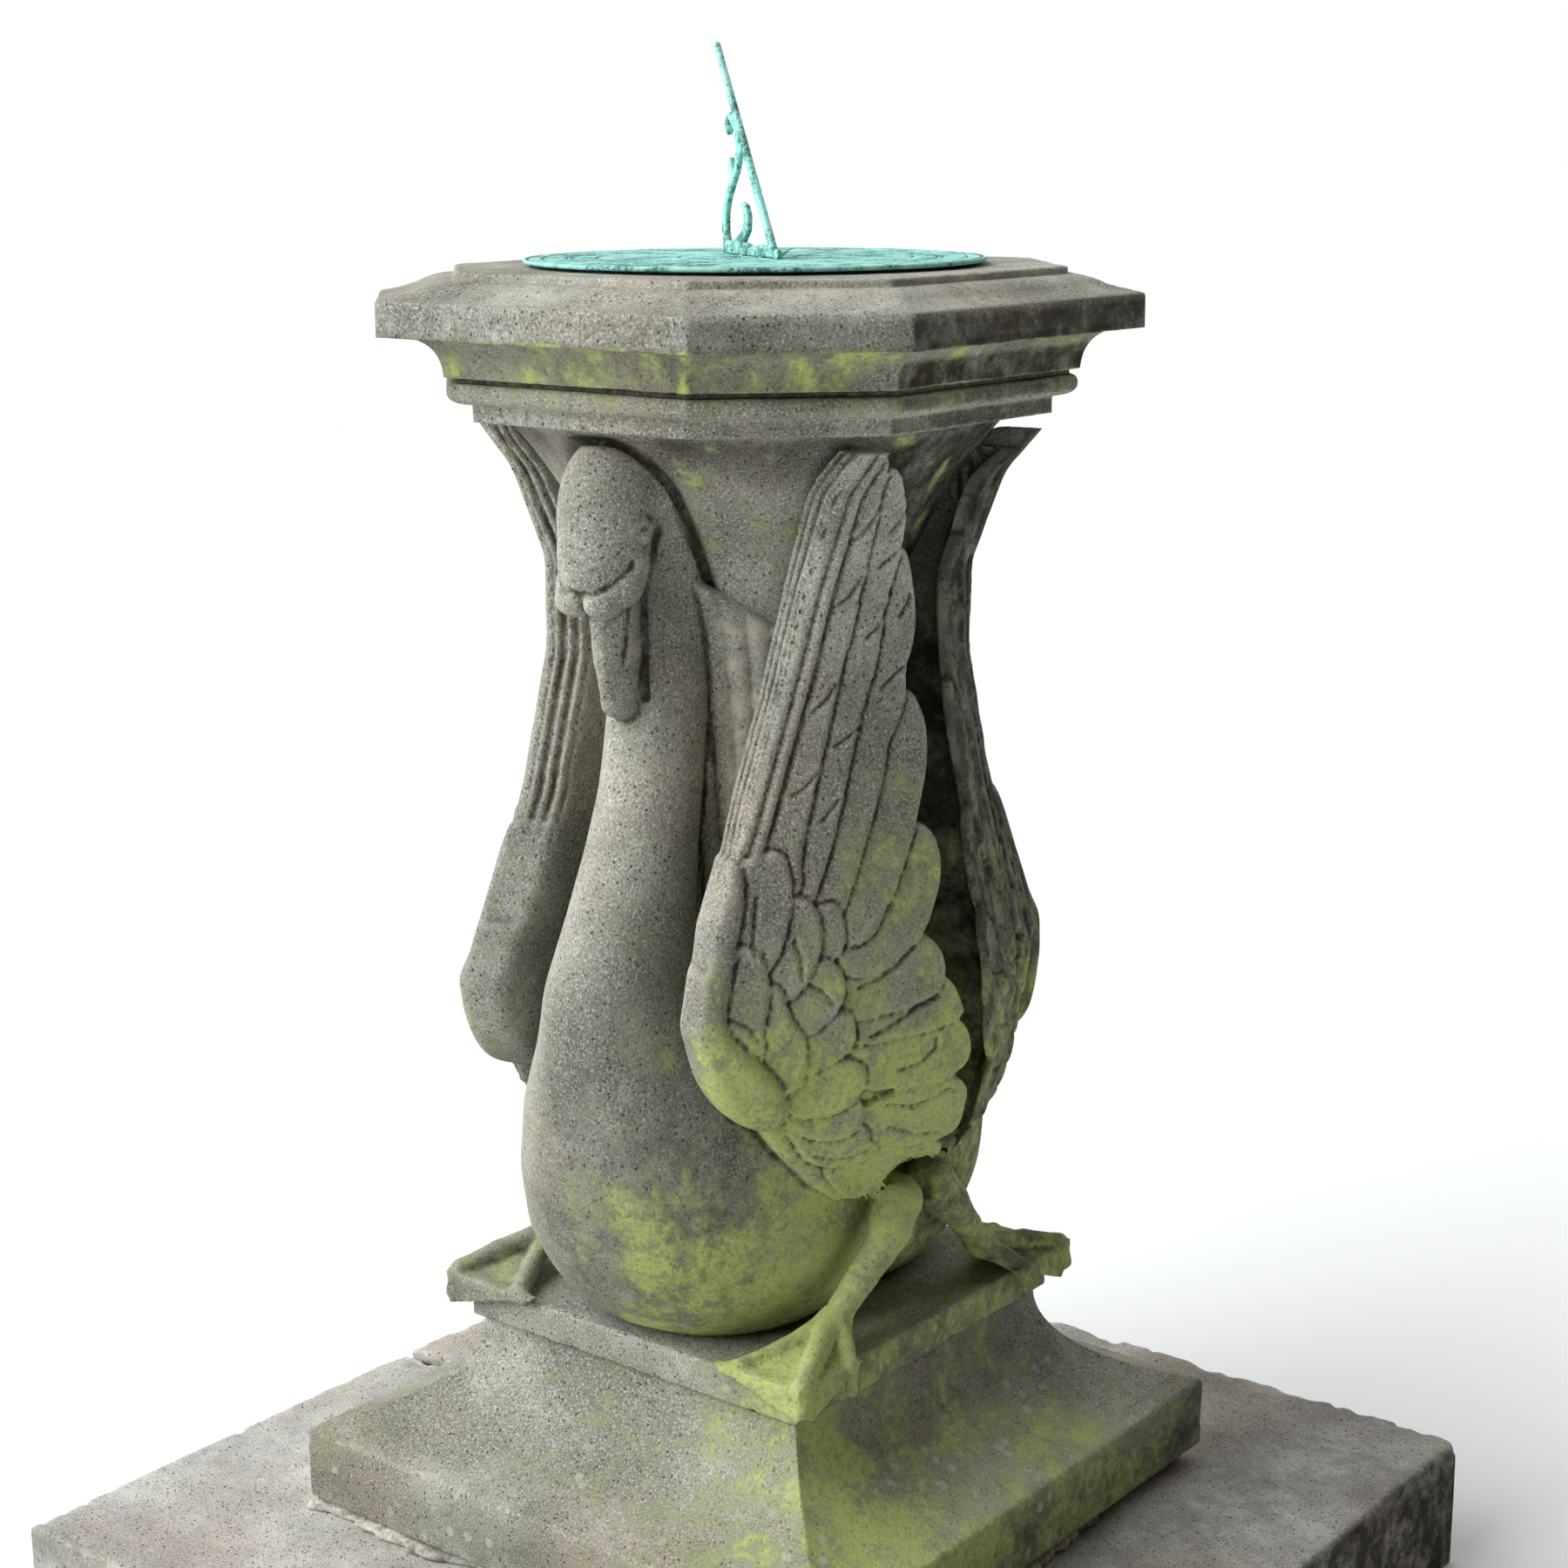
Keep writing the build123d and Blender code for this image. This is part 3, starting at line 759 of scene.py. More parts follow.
# Feathers from the lowest layer up: height of the layer, rise at the free edge, outline
FEATHERS = [
    (-1.5, 0.5, [
        (0, 262), (60, 256), (104, 284), (124, 310), (140, 340), (152, 400), (140, 470), (100, 520),
        (40, 540), (0, 500),
    ]),
    (0, 2, [(118, 300), (116, 285), (105, 272), (90, 262), (70, 254), (30, 250), (20, 300), (90, 304)]),
    (0, 3.5, [
        (150, 350), (156, 340), (154, 330), (147, 320), (140, 309), (125, 299), (60, 296), (50, 330),
        (110, 347),
    ]),
    (0, 3.5, [
        (175, 388), (179, 378), (177, 368), (170, 357), (153, 346), (100, 344), (70, 350), (70, 380),
        (140, 386),
    ]),
    (0, 3.5, [
        (165, 417), (175, 413), (183, 405), (186, 395), (181, 384), (150, 380), (80, 378), (70, 400),
        (120, 404),
    ]),
    (0, 3.5, [
        (140, 445), (150, 444), (160, 438), (170, 427), (173, 414), (165, 402), (140, 398), (80, 395),
        (80, 430),
    ]),
    (0, 3.5, [
        (114, 519), (135, 511), (148, 497), (156, 479), (157, 460), (153, 447), (140, 434), (110, 420),
        (80, 430), (90, 490),
    ]),
    (0.5, 3, [
        (88, 603), (100, 595), (112, 579), (119, 560), (122, 540), (122, 500), (120, 465), (105, 440),
        (70, 450), (60, 560),
    ]),
    (1, 3, [
        (58, 698), (70, 687), (78, 668), (84, 655), (88, 640), (88, 625), (85, 614), (90, 600),
        (88, 580), (83, 567), (87, 552), (86, 500), (86, 450), (40, 440), (40, 650),
    ]),
    (1.5, 3, [
        (22, 753), (40, 743), (52, 730), (58, 716), (61, 700), (59, 680), (57, 650), (60, 620),
        (58, 600), (58, 580), (61, 540), (63, 500), (60, 460), (30, 460), (15, 650),
    ]),
    (2, 3, [
        (4, 768), (20, 758), (29, 740), (34, 715), (35, 680), (37, 640), (35, 620), (38, 580), (40, 540),
        (42, 505), (52, 478), (30, 460), (4, 500), (-6, 640),
    ]),
    (2, 2.5, [(62, 470), (73, 474), (83, 467), (88, 457), (90, 443), (80, 432), (50, 430), (45, 460)]),
    (2, 3, [(72, 306), (68, 297), (55, 291), (35, 288), (15, 300), (20, 325), (60, 318)]),
    (2, 3, [(62, 330), (70, 322), (69, 312), (60, 302), (40, 297), (15, 310), (20, 335), (50, 334)]),
    (2.5, 3, [(70, 352), (77, 346), (77, 337), (68, 323), (45, 312), (20, 320), (20, 350), (50, 356)]),
    (2.5, 3, [(84, 374), (92, 366), (88, 357), (77, 344), (50, 332), (20, 335), (20, 365), (60, 374)]),
    (2.5, 3, [
        (80, 403), (93, 406), (102, 401), (98, 389), (88, 377), (70, 370), (35, 360), (25, 385),
        (55, 396),
    ]),
    (3, 3.5, [
        (58, 435), (73, 440), (85, 435), (92, 425), (94, 413), (88, 403), (66, 391), (30, 388),
        (30, 420),
    ]),
    (3.5, 3.5, [
        (44, 480), (56, 477), (66, 468), (72, 455), (72, 442), (66, 428), (56, 414), (30, 410),
        (20, 450), (25, 478),
    ]),
    (4, 3.5, [
        (14, 508), (30, 507), (39, 493), (46, 474), (47, 457), (42, 440), (34, 428), (5, 430), (-5, 470),
        (0, 500),
    ]),
    (4.5, 3.5, [
        (36, 428), (46, 427), (55, 408), (63, 395), (60, 384), (50, 367), (36, 352), (10, 350),
        (15, 400),
    ]),
    (5, 3.5, [
        (12, 452), (26, 451), (35, 440), (40, 424), (39, 405), (34, 390), (24, 374), (5, 365), (-5, 400),
        (0, 440),
    ]),
    (6, 3, [(6, 408), (20, 407), (31, 397), (27, 386), (20, 374), (8, 360), (-5, 380)]),
]
WRIST = [
    (-4, 505), (6, 500), (16, 470), (14, 440), (12, 405), (24, 385), (32, 362), (28, 342), (16, 329),
    (4, 325), (-8, 330), (-16, 342), (-19, 358), (-16, 376), (-8, 396), (-6, 430), (-6, 470),
]

# Grooves cut across the feathers, each a line of (s, z) points
GROOVES = [
    [(20, 700), (27, 708), (32, 722)],
    [(22, 659), (28, 665), (33, 677)],
    [(23, 592), (29, 598), (33, 609)],
    [(25, 541), (31, 545), (37, 554)],
    [(45, 682), (51, 687), (58, 693)],
    [(46, 704), (52, 711), (58, 721)],
    [(47, 637), (54, 644), (58, 655)],
    [(45, 570), (51, 575), (58, 580)],
    [(50, 524), (54, 531), (57, 536)],
    [(68, 603), (76, 612), (86, 619)],
    [(70, 648), (74, 655), (75, 662)],
    [(104, 447), (112, 458), (120, 466)],
    [(103, 417), (118, 420), (132, 427), (142, 437)],
    [(105, 384), (130, 391), (150, 398), (166, 402)],
    [(112, 358), (132, 361), (146, 368), (151, 376)],
    [(92, 336), (108, 331), (124, 333), (140, 338)],
    [(84, 318), (100, 308), (118, 306)],
    [(20, 480), (24, 462), (26, 446)],
    [(52, 452), (58, 440), (60, 428)],
    [(66, 424), (76, 419), (84, 410)],
]


def smoothed(outline):
    """A closed outline with its corners cut away, twice over."""
    points = np.array(outline, float)
    for _ in range(2):
        onward = np.roll(points, -1, 0)
        points = np.stack([0.75 * points + 0.25 * onward, 0.25 * points + 0.75 * onward], 1).reshape(-1, 2)
    return points


def line_distance(u, v, a, b):
    """Distance in a plane from points to the segment from a to b."""
    dx, dy = b[0] - a[0], b[1] - a[1]
    t = np.clip(((u - a[0]) * dx + (v - a[1]) * dy) / (dx * dx + dy * dy), 0, 1)
    return np.hypot(u - a[0] - t * dx, v - a[1] - t * dy)


def outline_distance(u, v, points):
    """Distance to a closed outline, above 0 inside it."""
    nearest = np.full(u.shape, 1e9)
    inside = np.zeros(u.shape, bool)
    for a, b in zip(points, np.roll(points, -1, 0)):
        nearest = np.minimum(nearest, line_distance(u, v, a, b))
        if a[1] != b[1]:
            crosses = ((a[1] > v) != (b[1] > v)) & (u < (b[0] - a[0]) * (v - a[1]) / (b[1] - a[1]) + a[0])
            inside ^= crosses
    return np.where(inside, nearest, -nearest)


S_LOW, S_HIGH, Z_LOW, Z_HIGH = -40, 215, 230, 785
S_AT, Z_AT = np.meshgrid(np.arange(S_LOW, S_HIGH + 1.0), np.arange(Z_LOW, Z_HIGH + 1.0))


def window(points, margin=8):
    """The part of the wing map around an outline."""
    low = np.maximum(points.min(0) - margin - (S_LOW, Z_LOW), 0).astype(int)
    high = (points.max(0) + margin - (S_LOW, Z_LOW)).astype(int) + 1
    return slice(low[1], high[1]), slice(low[0], high[0])


def wing_maps():
    """Relief and signed margin of the wing on its (s, z) map."""
    relief = np.zeros(S_AT.shape)
    margin = np.full(S_AT.shape, -60.0)
    for level, lip, outline in FEATHERS:
        points = smoothed(outline)
        part = window(points, 30)
        s, z = S_AT[part], Z_AT[part]
        inside = outline_distance(s, z, points)
        free_edge = level + lip * np.exp(-np.maximum(inside, 0) / 14) - 2.4 * (1 - ramp(inside, -0.5, 3.2))
        barbs = 0.35 * np.sin((s * 0.75 - z * 0.66) * 1.15 + 0.4 * np.sin(z * 0.13))
        free_edge = free_edge + barbs * ramp(inside, 1, 5) * ramp(inside, 20, 8)
        under = relief[part] - 1.7 * ramp(inside, -3.4, -0.8)
        relief[part] = np.where(inside > 0, free_edge, under)
        margin[part] = np.maximum(margin[part], inside)
    for groove in GROOVES:
        points = np.array(groove, float)
        part = window(points)
        lines = zip(points, points[1:])
        near = np.min([line_distance(S_AT[part], Z_AT[part], a, b) for a, b in lines], axis=0)
        relief[part] -= 2.0 * np.exp(-((near / 1.5) ** 2)) - 0.8 * np.exp(-(((near - 3) / 2) ** 2))
    # The lowest feathers sink into the belly
    relief -= 14 * ramp(Z_AT, 322, 262) * ramp(S_AT, 16, 44) * ramp(S_AT, 122, 84)
    # Rolls along the leading edge, from the tip down to the wrist
    rolls = 3.6 * np.abs(np.cos(math.pi * (S_AT - 3.4) / 8.8)) ** 0.55
    high_up = ramp(Z_AT, 490, 515)
    roll_zone = ramp(S_AT, 18.5, 16) * high_up
    relief = relief * (1 - roll_zone) + (2.6 + rolls) * roll_zone
    relief -= 2.5 * np.exp(-(((S_AT - 18.5) / 1.6) ** 2)) * high_up
    tip = smoothed([(-4, 480), (-4, 738), (-1, 754), (6, 765), (16, 768), (22, 754), (18, 480)])
    margin = np.maximum(margin, outline_distance(S_AT, Z_AT, tip))
    points = smoothed(WRIST)
    inside = outline_distance(S_AT, Z_AT, points)
    lobe = ramp(Z_AT, 420, 372)
    share = np.clip(inside / (9 + 9 * lobe), 0, 1)
    crown = (6 + 9 * lobe) * np.sqrt(share * (2 - share))
    raised = np.where(inside > 0, 3.5 - 2 * lobe + crown, relief - 1.5 * ramp(inside, -3.4, -0.8))
    relief = np.where(inside > 0, np.maximum(raised, relief * ramp(inside, 8, 0)), raised)
    margin = np.maximum(margin, inside)
    return relief, margin


def soften(values, reach):
    """Running mean along a line, for tables read at even steps."""
    width = max(int(reach), 1)
    padded = np.pad(values, width, mode="edge")
    kernel = np.hanning(2 * width + 3)[1:-1]
    return np.convolve(padded, kernel / kernel.sum(), "valid")


class Sculpture:
    """A distance field on a regular grid over half of the front swan."""

    def __init__(self, step):
        self.step = step
        xs = (np.arange(int((SWAN_HIGH[0] + 6) / step)) + 0.5) * step
        ys = np.arange(SWAN_LOW[1] - 3 * step, SWAN_HIGH[1] + 3 * step, step)
        zs = np.arange(SWAN_LOW[2] - 3 * step, SWAN_HIGH[2] + 3 * step, step)
        self.axes = [axis.astype(np.float32) for axis in (xs, ys, zs)]
        self.x = self.axes[0][:, None, None]
        self.y = self.axes[1][None, :, None]
        self.z = self.axes[2][None, None, :]
        self.field = np.full([len(axis) for axis in self.axes], 60, np.float32)

    def row(self, rows, column, reach):
        """One column of a table of heights, eased, at every height of the grid."""
        fine = np.arange(rows[0, 0] - 60, rows[-1, 0] + 60)
        values = soften(np.interp(fine, rows[:, 0], rows[:, column]), reach)
        return np.interp(self.axes[2], fine, values).astype(np.float32)[None, None, :]

    def local(self, low, high, shape, blend, cut=False):
        """Join a shape to the figure, or cut it away, within a box."""
        spans = []
        for axis, a, b in zip(self.axes, low, high):
            first, last = np.searchsorted(axis, (a, b))
            spans.append(slice(max(first - 1, 0), last + 1))
        part = tuple(spans)
        field = shape(self.x[spans[0]], self.y[:, spans[1]], self.z[:, :, spans[2]])
        now = self.field[part]
        self.field[part] = smooth_max(now, -field, blend) if cut else smooth_min(now, field, blend)

    def limb(self, points, blend, cut=False):
        """A rounded tapering limb through (x, y, z, radius) points."""
        for a, b in zip(points, points[1:]):
            a, b = np.array(a, float), np.array(b, float)
            reach = max(a[3], b[3]) + 3 * blend + 4
            low = np.minimum(a[:3], b[:3]) - reach
            high = np.maximum(a[:3], b[:3]) + reach
            along = b[:3] - a[:3]
            span = along @ along

            def shape(x, y, z):
                t = ((x - a[0]) * along[0] + (y - a[1]) * along[1] + (z - a[2]) * along[2]) / span
                t = np.clip(t, 0, 1)
                gap = sum((at - a[n] - t * along[n]) ** 2 for n, at in enumerate((x, y, z)))
                return np.sqrt(gap) - (a[3] + t * (b[3] - a[3]))

            self.local(low, high, shape, blend, cut)

    def crease(self, path, radius, blend):
        """A groove of even depth along the front surface, through (x, z) points."""
        points = []
        for a, b in zip(path, path[1:]):
            for share in np.linspace(0, 1, 5):
                x, z = a[0] + (b[0] - a[0]) * share, a[1] + (b[1] - a[1]) * share
                across = np.argmin(abs(self.axes[0] - x))
                column = self.field[across, :, np.argmin(abs(self.axes[2] - z))]
                first = np.argmax(column < 0)
                part = column[first - 1] / (column[first - 1] - column[first])
                y = self.axes[1][first - 1] + part * self.step
                points.append((x, y, z, radius))
        keep = [p for p, q in zip(points, points[1:]) if p != q] + points[-1:]
        self.limb(keep, blend, cut=True)

    def egg(self, centre, radii, blend, tilt=0.0):
        """An ellipsoid, leaning forward by tilt degrees."""
        lean = math.radians(tilt)

        def shape(x, y, z):
            v, w = y - centre[1], z - centre[2]
            forward = v * math.cos(lean) - w * math.sin(lean)
            upward = v * math.sin(lean) + w * math.cos(lean)
            own = (x - centre[0], forward, upward)
            near = np.sqrt(sum((at / radius) ** 2 for at, radius in zip(own, radii)))
            slope = np.sqrt(sum((at / radius**2) ** 2 for at, radius in zip(own, radii)) + 1e-9)
            return near * (near - 1) / slope

        reach = max(radii) + 3 * blend + 4
        self.local(np.array(centre) - reach, np.array(centre) + reach, shape, blend)

    def web(self, a, b, c, thickness, blend):
        """A flat web between three points."""
        a, b, c = (np.array(p, float) for p in (a, b, c))
        normal = np.cross(b - a, c - a)
        normal /= np.linalg.norm(normal)

        def shape(x, y, z):
            away = abs((x - a[0]) * normal[0] + (y - a[1]) * normal[1] + (z - a[2]) * normal[2])
            side = -1e9
            for p, q in ((a, b), (b, c), (c, a)):
                out = np.cross(q - p, normal)
                out /= np.linalg.norm(out)
                past = (x - p[0]) * out[0] + (y - p[1]) * out[1] + (z - p[2]) * out[2]
                side = np.maximum(side, past)
            return np.maximum(away - thickness, side - thickness * 0.5)

        corners = np.array([a, b, c])
        self.local(corners.min(0) - 12, corners.max(0) + 12, shape, blend)


def rear_edge(form, margin):
    """How far back the wing reaches at every height of the grid, with its scallops evened out."""
    reach = [S_LOW + np.flatnonzero(line > 0)[-1] if (line > 0).any() else 0 for line in margin]
    even = soften(np.array(reach, float), 34)
    heights = np.arange(Z_LOW, Z_LOW + len(even))
    return np.interp(form.axes[2], heights, even).astype(np.float32)[None, None, :]


def add_wing(form):
    """Wing with its feathers, its ridged front edge and its filling back to the core."""
    relief, margin = wing_maps()
    lead_x, lead_y, rear_x = (form.row(WING, column, 8) for column in (1, 2, 3))
    chord = np.hypot(rear_x - lead_x, WING_BACK - lead_y)
    along_x, along_y = (rear_x - lead_x) / chord, (WING_BACK - lead_y) / chord
    s = (form.x - lead_x) * along_x + (form.y - lead_y) * along_y
    h = (form.x - lead_x) * along_y - (form.y - lead_y) * along_x
    t = np.clip(s / chord, 0, 1)
    # Both maps are read between their grid points, by height and then along s
    level = np.clip(form.axes[2] - Z_LOW, 0, Z_HIGH - Z_LOW - 1.001)
    low = level.astype(int)
    share = (level - low)[:, None]
    columns = S_HIGH - S_LOW
    place = np.clip(s - S_LOW, 0, columns - 1.001)
    cell = place.astype(np.int32)
    part = place - cell
    offset = np.arange(len(level), dtype=np.int32)[None, None, :] * (columns + 1)

    def sample(table):
        rows = (table[low] * (1 - share) + table[low + 1] * share).astype(np.float32).ravel()
        return rows[offset + cell] * (1 - part) + rows[offset + cell + 1] * part

    lift = sample(relief)
    rim = sample(margin)
    outer = h - (4 * WING_BULGE * t * (1 - t) + lift)
    upper = ramp(form.z, 400, 440)
    ridges = 1.7 * np.cos(2 * math.pi * (h + 3) / 8.6) * ramp(form.z, 482, 520) * ramp(h, 3, -1)
    deep_rim = rear_edge(form, margin) - 26 - s
    deep = ramp(h, -0.5, -5)
    rim = np.where(s > 30, rim * (1 - deep) + np.minimum(rim, deep_rim) * deep, rim)
    front = -(np.minimum(rim, s + 3 + 60 * (1 - upper)) + ridges * ramp(s, 10, 2))
    inner_x = lead_x - EDGE_THICKNESS - 42 * ramp(form.y - 0.55 * lead_y, 0, 50)
    inner = inner_x - form.x
    wing = smooth_max(outer, front, 3.0)
    wing = smooth_max(wing, inner, 7)
    wing = np.maximum(wing, WING_BOTTOM - form.z)
    form.field = smooth_min(form.field, wing, 4 + 32 * ramp(form.z, 335, 290) * ramp(s, 24, 60))


def add_trunk(form):
    """Breast, belly and neck."""
    middle, half_width, half_depth = (form.row(TRUNK, column, 16) for column in (1, 2, 3))
    across, deep = form.x / half_width, (form.y - middle) / half_depth
    near = np.sqrt(across**2 + deep**2) + 1e-6
    slope = np.sqrt((across / half_width) ** 2 + (deep / half_depth) ** 2) + 1e-6
    trunk = near * (near - 1) / slope
    trunk = smooth_max(trunk, BELLY_BOTTOM - form.z - 10 * ramp(form.y, -150, -100), 10)
    form.field = smooth_min(form.field, trunk, 9)


def add_underwing(form):
    """Shallow panel of feathers on the core, between the neck and the wing."""
    top = np.interp(form.x, [0, 24, 48, 71, 100], [686, 676, 662, 640, 606]).astype(np.float32)
    angle = np.arctan2(form.x, -form.y)
    lines = angle * 90 + (form.z - 500) * 0.06
    barbs = np.abs(np.cos(math.pi * lines / 14)) ** 0.35
    radius = core_radius(form.z) + 2.5 + 4.4 * barbs
    panel = np.hypot(form.x, form.y) - radius
    panel = smooth_max(panel, (form.z - top) * 0.8, 3)
    panel = np.maximum(panel, PANEL_BOTTOM - form.z)
    form.field = smooth_min(form.field, panel, 2)


def add_head(form):
    """Bowed head with its brow, eye, knob and hanging bill."""
    form.limb([(0, -100, 726, 36), (0, -118, 733, 34), (0, -142, 730, 31)], 8)
    form.egg((0, -152, 713), (31.5, 30, 53), 6, tilt=4)
    form.egg((0, -155, 684), (28.5, 28, 28), 8)
    form.limb([(0, -146, 668, 18), (0, -142, 630, 16), (0, -141, 594, 12)], 4)
    form.limb([(0, -158, 652, 7), (0, -155, 622, 6), (0, -150, 592, 6)], 5)
    # Groove along the bill, and the gape behind it
    form.limb([(17.2, -149, 656, 2), (15.8, -150, 636, 2.6), (11, -152.5, 612, 1.6)], 1.5, cut=True)
    form.limb([(20, -140, 664, 2.6), (17.5, -133, 630, 2.8), (14, -131, 596, 2.4)], 2, cut=True)
    # Knob of two lobes that run up the cheeks towards the eyes, and the crease above them
    form.egg((11.5, -169, 662), (13, 12, 10.5), 4)
    form.limb([(13, -167, 664, 11), (21, -158, 672, 11), (26, -149, 685, 7)], 6)
    form.crease([(30, 689), (28, 681), (23, 675), (17, 671), (12, 669), (6, 669), (2, 668)], 1.9, 1.2)
    form.crease([(2, 668), (1, 663), (1, 655)], 1.3, 1)
    # Eye under its brow
    form.egg((30.5, -148, 704), (3.6, 5.5, 5), 1.5)
    form.limb([(29, -160, 710, 1.6), (31.5, -150, 713, 1.9), (32, -141, 709, 1.6)], 3)


def add_leg(form):
    """Scaled shank, and a webbed foot folded over the plinth's corner."""
    form.limb([(132, -20, 248, 19), (137, -34, 232, 14), (137, -44, 222, 12)], 6)
    form.limb([(137, -44, 222, 12), (133, -64, 203, 10), (129, -84, 184, 9.5)], 2)
    for i in range(9):
        share = i / 8
        x, y, z = 137 - 8 * share, -45 - 37 * share, 221 - 35 * share
        radius = 12.8 - 2 * share + 0.4 * math.sin(5 * i)
        form.egg((x, y, z), (radius, radius, 2.8), 1.2, tilt=48 + 7 * math.sin(3 * i))
    form.egg((129, -85, 182), (13, 12, 10), 3)
    toes = (
        [(125, -88, 180, 8.5), (113, -120, 171, 6.5), (100, -146, 165, 5.5), (90, -151, 161, 5)],
        [(129, -90, 181, 9), (142, -122, 176, 7.5), (154, -149, 168, 7), (156.5, -154, 152, 6)],
        [(132, -84, 180, 8.5), (146, -95, 172, 6.5), (155, -102, 165, 5.5), (155.5, -100, 146, 5)],
    )
    for toe in toes:
        form.limb(toe, 3)
    form.web((125, -88, 176), (91, -149, 160), (154, -150, 164), 4, 3)
    form.web((92, -150.5, 163), (156, -154, 166), (154, -154, 147), 5, 3)
    form.web((130, -86, 176), (154, -150, 165), (153, -100, 162), 4, 3)
    form.web((155.5, -152, 165), (154.5, -102, 163), (155, -146, 145), 5, 3)


def swan_form():
    """The whole front swan's surface as points and quads."""
    form = Sculpture(STEP)
    add_trunk(form)
    add_underwing(form)
    add_wing(form)
    add_head(form)
    add_leg(form)
    back = form.y - SWAN_HIGH[1]
    top = form.z - SWAN_HIGH[2] + 0.5
    form.field = np.maximum(np.maximum(form.field, back), top)
    # Nothing below the plinth's top except what hangs outside it
    on_plinth = np.maximum(np.maximum(form.x, -form.y) - PLINTH_HALF + 3, form.z - PLINTH_TOP + 3)
    form.field = np.maximum(form.field, -on_plinth)
    bell_inside = np.hypot(form.x, form.y) - core_radius(form.z) + 4
    form.field = np.maximum(form.field, -bell_inside)
    whole = np.concatenate([form.field[::-1], form.field])
    low = np.array([-form.axes[0][-1], form.axes[1][0], form.axes[2][0]])
    return surface_nets(whole, low, STEP)


def fade(values, middle, reach):
    """1 where a coordinate is at the middle, fading to 0 over about the given reach."""
    return np.exp(-(((values - middle) / reach) ** 2))


def swan_wear(points, bend, seed):
    """How deep the weather has gone in: soft hollows, small pits and worn edges."""
    depth = 0.5 * cloud(points, 46, seed) + 0.45 * cloud(points, 11, seed + 3)
    depth += 0.7 * ramp(value_noise(points, 7, seed + 5), 0.6, 0.95)
    return depth + 0.7 * ramp(-bend, 0.1, 0.6) * (0.5 + 0.5 * value_noise(points, 12, seed + 6))


def add_swan(name, node, points, faces, rear, seed):
    """One swan, worn by weather and painted with its growth of algae, with painted shade and painted light.
    """
    spin = -1 if rear else 1
    piece = mesh_object(name, points * (spin, spin, 1), faces)
    points, normals = object_arrays(piece)
    bend = curvature(piece, points, normals, 5)
    wide_bend = curvature(piece, points, normals, 24)
    move_points(piece, points - normals * swan_wear(points, bend, seed)[:, None], node)
    # x, y and z are places on the swan itself; points and normals are as the swan stands, and they place
    # the weather, the painted shade and the painted light.
    x, y, z = (points * (spin, spin, 1)).T
    out = np.hypot(x, y)
    east, west = normals[:, 0], ramp(-normals[:, 0], 0.1, 0.7) * ramp(abs(x), 95, 75)

    # Painted shade in creases and hollows, along with the grime that gathers there, less on the under-wing
    # panel and the low wing.
    hollow = ramp(bend, 0.05, 0.5) + 0.7 * ramp(wide_bend, 0.5, 3.0)
    hollow *= 1 - 0.35 * ramp(out, 125, 105) * ramp(abs(x), 24, 40) * ramp(z, 380, 460)
    hollow *= 1 - 0.4 * ramp(z, 345, 300) * ramp(abs(x), 60, 90)
    under_panel = ramp(abs(x), 38, 44) * ramp(out, 108, 100) * ramp(z, 380, 440)
    under_head = fade(x, 0, 40) * fade(y, -132, 22) * fade(z, 650, 60)
    grime = 0.14 + 0.7 * hollow + 0.25 * layered_noise(points, 60, seed + 8)
    # Painted shade in the recess between the wing and the body.
    grime += 0.1 * ramp(out, 118, 96) * ramp(z, 330, 420) * ramp(abs(x), 38, 60)
    # Painted shade: the rear swan's right-facing faces are darkened strongly, every swan's right-facing
    # faces a little, and those in the gap between the two swans more.
    if rear:
        grime += 0.85 * ramp(east, -0.1, 0.5) * ramp(points[:, 0], 60, 90)
    grime += 0.12 * ramp(east, 0.3, 0.8) + 0.3 * ramp(east, 0.55, 0.95) * ramp(points[:, 1], -8, 8)
    grime += 0.4 * ramp(y, -90, -150) * ramp(z, 470, 330) * ramp(x * spin, -95, -20)
    grime += 0.25 * ramp(points[:, 0], -60, -90) * ramp(points[:, 1], 0, -10)
    # Painted shade under the head and on the back faces that look into the gap between the two swans.
    grime += 0.5 * under_head + 0.8 * ramp(y, -34, -12) * ramp(normals[:, 1] * spin, 0.2, 0.7)
    # Painted shade just under the neck moulding and on downward-facing faces.
    grime += 0.35 * ramp(z, 745, 768) + 0.25 * ramp(-normals[:, 2], 0.35, 0.9)
    # Painted light: left-facing faces are lightened; the swan above z 600 is also made a little lighter.
    grime -= 0.12 * west + 0.1 * ramp(z, 600, 660)

    wing = ramp(abs(x), 88, 108)
    algae = wing * (0.55 * fade(z, 300, 80) + 0.35 * fade(z, 400, 60))
    algae += 0.6 * wing * ramp(abs(x), 118, 150) * fade(z, 490, 55)
    algae += 0.35 * fade(z, 352, 40) * ramp(abs(x), 80, 100)
    algae += 0.6 * ramp(z, 320, 190) * ramp(abs(x), 0, 90) + 0.5 * ramp(z, 190, 160)
    algae += 0.25 * ramp(z, 330, 240) + 0.22 * ramp(z, 480, 380)
    algae *= (0.35 + 0.9 * cloud(points, 55, seed + 9)) * np.where(points[:, 0] > 0, 1.0, 0.35)
    algae = algae * (0.65 if rear else 1) + 0.1

    # Paler in patches on broad convex swells and on upward faces; painted light on the under-wing panel and
    # the left-facing faces.
    pale = 0.5 * ramp(-wide_bend, 0.2, 1.6) * ramp(layered_noise(points, 30, seed + 10), -0.3, 0.5)
    pale += 0.3 * ramp(normals[:, 2], 0.2, 0.8) + 0.95 * under_panel + 0.3 * west
    paint(
        piece,
        grime=grime,
        algae=algae * (1 - 0.5 * ramp(bend, 0.25, 0.8)),
        bleach=pale,
        lichen=0.35 * ramp(z, 330, 220),
    )
    dress(piece, PEDESTAL_STONE, "pedestal_stone", node)


